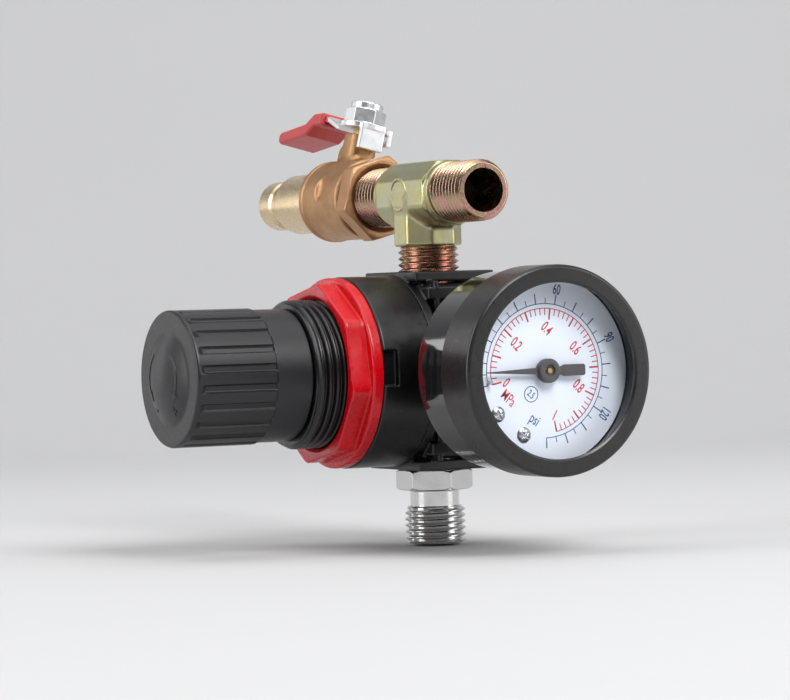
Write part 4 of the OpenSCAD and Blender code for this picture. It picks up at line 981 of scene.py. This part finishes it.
def build_lever():
    u0, t = 16.2, 1.3
    path = [(4.0, u0 + t / 2), (6.0, u0 + t / 2), (11.0, u0 + 1.9 + t / 2), (16.5, u0 + 1.9 + t / 2), (20.0, u0 - 0.2 + t / 2), (31.8, u0 - 1.6 + t / 2)]

    def strip_field(y, z, pts, half):
        d = None
        for (a0, b0), (a1, b1) in zip(pts[:-1], pts[1:]):
            dx, dz = a1 - a0, b1 - b0
            k = np.clip(((y - a0) * dx + (z - b0) * dz) / (dx * dx + dz * dz), 0, 1)
            q = vlen(y - a0 - k * dx, z - b0 - k * dz)
            d = q if d is None else smin(d, q, 0.0)
        return d - half

    def plate(p):
        x, y, z = p[:, 0], p[:, 1], p[:, 2]
        disc = d_tube(p, 2, (0, 0, u0 + t / 2), 5.6, t / 2, 0.2)
        arm = smax(strip_field(y, z, path, t / 2), np.abs(x) - 3.75, 0.25)
        arm = np.maximum(arm, y - 32.2)
        tab = d_box(p, (0, -4.75, 14.5), (3.05, 0.65, 3.0), 0.25)
        lip = d_box(p, (0, -2.7, u0 + t / 2), (3.05, 2.7, t / 2), 0.2)
        ear = d_box(p, (5.65, 0, 15.55), (0.65, 2.8, 1.95), 0.22)
        bridge = d_box(p, (3.75, 0, u0 + t / 2), (1.9, 2.8, t / 2), 0.2)
        d = smin(smin(disc, arm, 0.3), smin(smin(tab, lip, 0.35), smin(ear, bridge, 0.35), 0.2), 0.25)
        hole = np.maximum(vlen(x, y) - 2.25, np.abs(x) - 1.55)
        return smax(d, -hole, 0.05)
    o = field_piece("lever_steel", plate, (-6.8, -6.4, 10.8), (7, 33.2, 20.6), 0.2, M["chrome_plate"], "lever", ("lever_plate",), VALVE)
    slotted(o)

    sl = [(12.5, u0 + 1.9 + t / 2)] + [q for q in path if q[0] > 12.5]

    def sleeve(p):
        x, y, z = p[:, 0], p[:, 1], p[:, 2]
        end = [sl[-1][0] + 0.0, sl[-1][1]]
        body = strip_field(y, z, sl, t / 2 + 0.8)
        d = smax(body, np.abs(x) - 4.8, 0.7)
        d = smax(d, 12.5 - y, 0.25)
        d = smax(d, y - 33.0, 0.5)
        inner = np.maximum(strip_field(y, z, [(10.0, sl[0][1])] + sl, t / 2 + 0.04), np.abs(x) - 3.8)
        inner = np.maximum(inner, y - 32.25)
        return smax(d, -inner, 0.05)
    o = field_piece("lever_grip", sleeve, (-5.8, 11.6, 12.4), (5.8, 34, 20.8), 0.22, M["red_vinyl"], "lever", ("lever_sleeve",), VALVE)
    slotted(o)

    z0 = u0 + t + 0.02

    def nut(p):
        x, y, z = p[:, 0], p[:, 1], p[:, 2]
        rho = vlen(x, y)
        d = d_prism(p, 2, (0, 0, z0 + 1.7), 6, 8.0, 1.7, math.pi / 6 + math.pi / 6, 0.12, 0.12)
        d = smax(d, (rho - 4.3 - (z0 + 3.4 - z) * 1.6) * 0.53, 0.1)
        d = smin(d, d_tube(p, 2, (0, 0, z0 + 4.2), 3.7, 0.8, 0.3), 0.12)
        cut = np.minimum(rho - 2.0, (rho - 2.9 + (z0 + 5.0 - z)) * 0.707)
        return smax(d, -cut, 0.1)
    o = field_piece("lever_nut", nut, (-5.2, -5.2, z0 - 0.6), (5.2, 5.2, z0 + 5.6), 0.14, M["chrome_plate"], "lever", ("lock_nut",), VALVE)
    slotted(o)


def build_nipple():
    lo, hi = span("outlet_nipple")
    bottom = lo[2]
    port = span("body")[0][2]
    turn = math.radians(26.2)
    hex_top = port - 0.2
    hex_low = hex_top - 4.4

    def f(p):
        x, y, z = p[:, 0], p[:, 1], p[:, 2]
        rho = vlen(x, y)
        d = d_prism(p, 2, (0, 0, (hex_top + hex_low) / 2), 6, 14.5, 2.2, turn + math.pi / 6, 0.15, 0.2)
        low = (rho - 7.55 - (z - hex_low) * 1.7) * 0.5
        top = (rho - 7.55 - (hex_top - z) * 1.7) * 0.5
        d = smax(d, np.maximum(low, top), 0.12)
        neck = d_tube(p, 2, (0, 0, hex_low - 1.6), 5.3, 2.2, 0.1)
        d = smin(d, neck, 0.35)
        return smax(d, -(rho - 3.5), 0.1)
    o = field_piece("nipple_hex", f, (-9, -9, hex_low - 4.2), (9, 9, hex_top + 0.8), 0.2, M["nickel_plate"], "regulator", ("outlet_nipple",))
    slotted(o)
    thread_top = hex_low - 3.5
    v, q = place(thread(6.5785, 1.337, 0.80, 0, thread_top - bottom, 3.5, lead=(0.9, 1.1), before=[(5.5, 0)], after=[(5.6, thread_top - bottom)]), (0, 0, bottom), (0, 0, 1))
    o = finish_mesh("nipple_thread", v, q, M["nickel_plate"], "regulator", ("outlet_nipple",), sharp=50)
    slotted(o)
    v, q = place(thread(6.5785, 1.337, 0.80, 0, 9.4, 3.5, lead=(1.1, 0.9), before=[(5.5, 0)], after=[(5.6, 9.4)]), (0, 0, port - 0.2), (0, 0, 1))
    o = finish_mesh("nipple_inner_thread", v, q, M["nickel_plate"], "regulator", ("outlet_nipple",), sharp=50)
    slotted(o)


def build_socket():
    """Softens the visible edges of the gauge's connection, whose shape the CAD node already has."""
    for nm, w in (("gauge_socket", 0.18), ("rear_port_plug", 0.15)):
        o = NODES[nm]
        m = o.modifiers.new("joined", "WELD")
        m.merge_threshold = 1e-6
        b = o.modifiers.new("soft", "BEVEL")
        b.width = w * MM
        b.segments = 2
        b.limit_method = "ANGLE"
        b.angle_limit = math.radians(40)


for step in (build_body, build_bonnet, build_nut, build_knob, build_rear, build_gauge, build_screws, build_tee, build_valve, build_lever, build_nipple, build_socket):
    step()


# ---------------------------------------------------------------- stage, light and camera

def build_stage():
    lo, hi = (Vector(CAD_BOX[0]), Vector(CAD_BOX[1]))
    floor_z = lo.z - 0.0005
    mat = material("backdrop_mat", (0.54, 0.54, 0.545), 0.85, grain=3.0, bump=0.0, vary=0.01, patch=120)
    az = math.radians(-28.32)
    away = Vector((-math.sin(az), math.cos(az), 0))
    side = Vector((away.y, -away.x, 0))
    prof = [(-1.6, 0)] + [(0.45 + 0.5 * math.sin(a), 0.5 - 0.5 * math.cos(a)) for a in np.linspace(0, math.pi / 2, 24)] + [(0.95, 2.4)]
    verts, faces = [], []
    for s in (-2.6, 2.6):
        for d, h in prof:
            p = away * d + side * s
            verts.append((p.x, p.y, floor_z + h))
    k = len(prof)
    faces = [(i, i + 1, k + i + 1, k + i) for i in range(k - 1)]
    me = bpy.data.meshes.new("backdrop")
    me.from_pydata(verts, [], faces)
    for p in me.polygons:
        p.use_smooth = True
    me.materials.append(mat)
    o = bpy.data.objects.new("backdrop", me)
    bpy.context.scene.collection.objects.link(o)


def lamp(name, at, target, size, power, colour=(1, 1, 1), size_y=None):
    d = bpy.data.lights.new(name, "AREA")
    d.shape = "RECTANGLE"
    d.size = size
    d.size_y = size_y or size
    d.energy = power
    d.color = colour
    o = bpy.data.objects.new(name, d)
    bpy.context.scene.collection.objects.link(o)
    o.location = at
    o.rotation_euler = (Vector(target) - Vector(at)).to_track_quat("-Z", "Y").to_euler()
    return o


def build_light():
    w = bpy.data.worlds.new("studio")
    bpy.context.scene.world = w
    w.use_nodes = True
    bg = w.node_tree.nodes["Background"]
    bg.inputs[1].default_value = 1.0
    t = w.node_tree
    tc = t.nodes.new("ShaderNodeTexCoord")
    dot = t.nodes.new("ShaderNodeVectorMath")
    dot.operation = "DOT_PRODUCT"
    dot.inputs[1].default_value = (math.sin(math.radians(-28.32)), -math.cos(math.radians(-28.32)), 0.0)
    ramp = t.nodes.new("ShaderNodeValToRGB")
    ramp.color_ramp.elements[0].position = 0.35
    ramp.color_ramp.elements[0].color = (0.50, 0.51, 0.53, 1)
    ramp.color_ramp.elements[1].position = 0.86
    ramp.color_ramp.elements[1].color = (0.05, 0.05, 0.055, 1)
    half = t.nodes.new("ShaderNodeMapRange")
    half.inputs["From Min"].default_value = -1.0
    t.links.new(tc.outputs["Generated"], dot.inputs[0])
    t.links.new(dot.outputs["Value"], half.inputs["Value"])
    t.links.new(half.outputs[0], ramp.inputs[0])
    t.links.new(ramp.outputs[0], bg.inputs[0])
    az = math.radians(-28.32)
    away = Vector((-math.sin(az), math.cos(az), 0))
    right = Vector((away.y, -away.x, 0))
    up = Vector((0, 0, 1))
    aim = (0, 0, 0)
    lamp("softbox_left", right * -0.85 - away * 0.35 + up * 0.30, aim, 0.45, 5.6, size_y=0.9)
    lamp("softbox_right", right * 0.85 - away * 0.20 + up * 0.15, aim, 0.40, 3.8, size_y=0.9)
    lamp("softbox_front_high", (0.05, -0.85, 0.80), aim, 0.5, 11.0)
    lamp("softbox_top", up * 0.95 - away * 0.25, aim, 0.55, 1.8)
    lamp("rim_left", right * -0.75 + away * 0.45 + up * 0.1, aim, 0.15, 0.9, size_y=0.8)
    lamp("wall_wash", away * 0.25 + up * 1.1, away * 0.9 + up * 0.2, 1.2, 5.0)


def build_camera():
    cam = bpy.data.cameras.new("photo_camera")
    cam.sensor_width = 36
    cam.lens = 158.68
    cam.clip_start = 0.01
    cam.clip_end = 20
    o = bpy.data.objects.new("photo_camera", cam)
    bpy.context.scene.collection.objects.link(o)
    a, e, r = (math.radians(q) for q in (-28.32, 0.795, -1.529))
    back = Vector((math.sin(a) * math.cos(e), -math.cos(a) * math.cos(e), math.sin(e)))
    right = Vector((0, 0, 1)).cross(back).normalized()
    up = back.cross(right)
    R = right * math.cos(r) + up * math.sin(r)
    U = -right * math.sin(r) + up * math.cos(r)
    m = Matrix.Identity(4)
    for i in range(3):
        m[i][0], m[i][1], m[i][2] = R[i], U[i], back[i]
    m.translation = Vector((-0.36515, -0.66118, 0.01495))
    o.matrix_world = m
    bpy.context.scene.camera = o


build_stage()
build_light()
build_camera()
bpy.context.scene.view_settings.view_transform = "Standard"
bpy.context.view_layer.update()
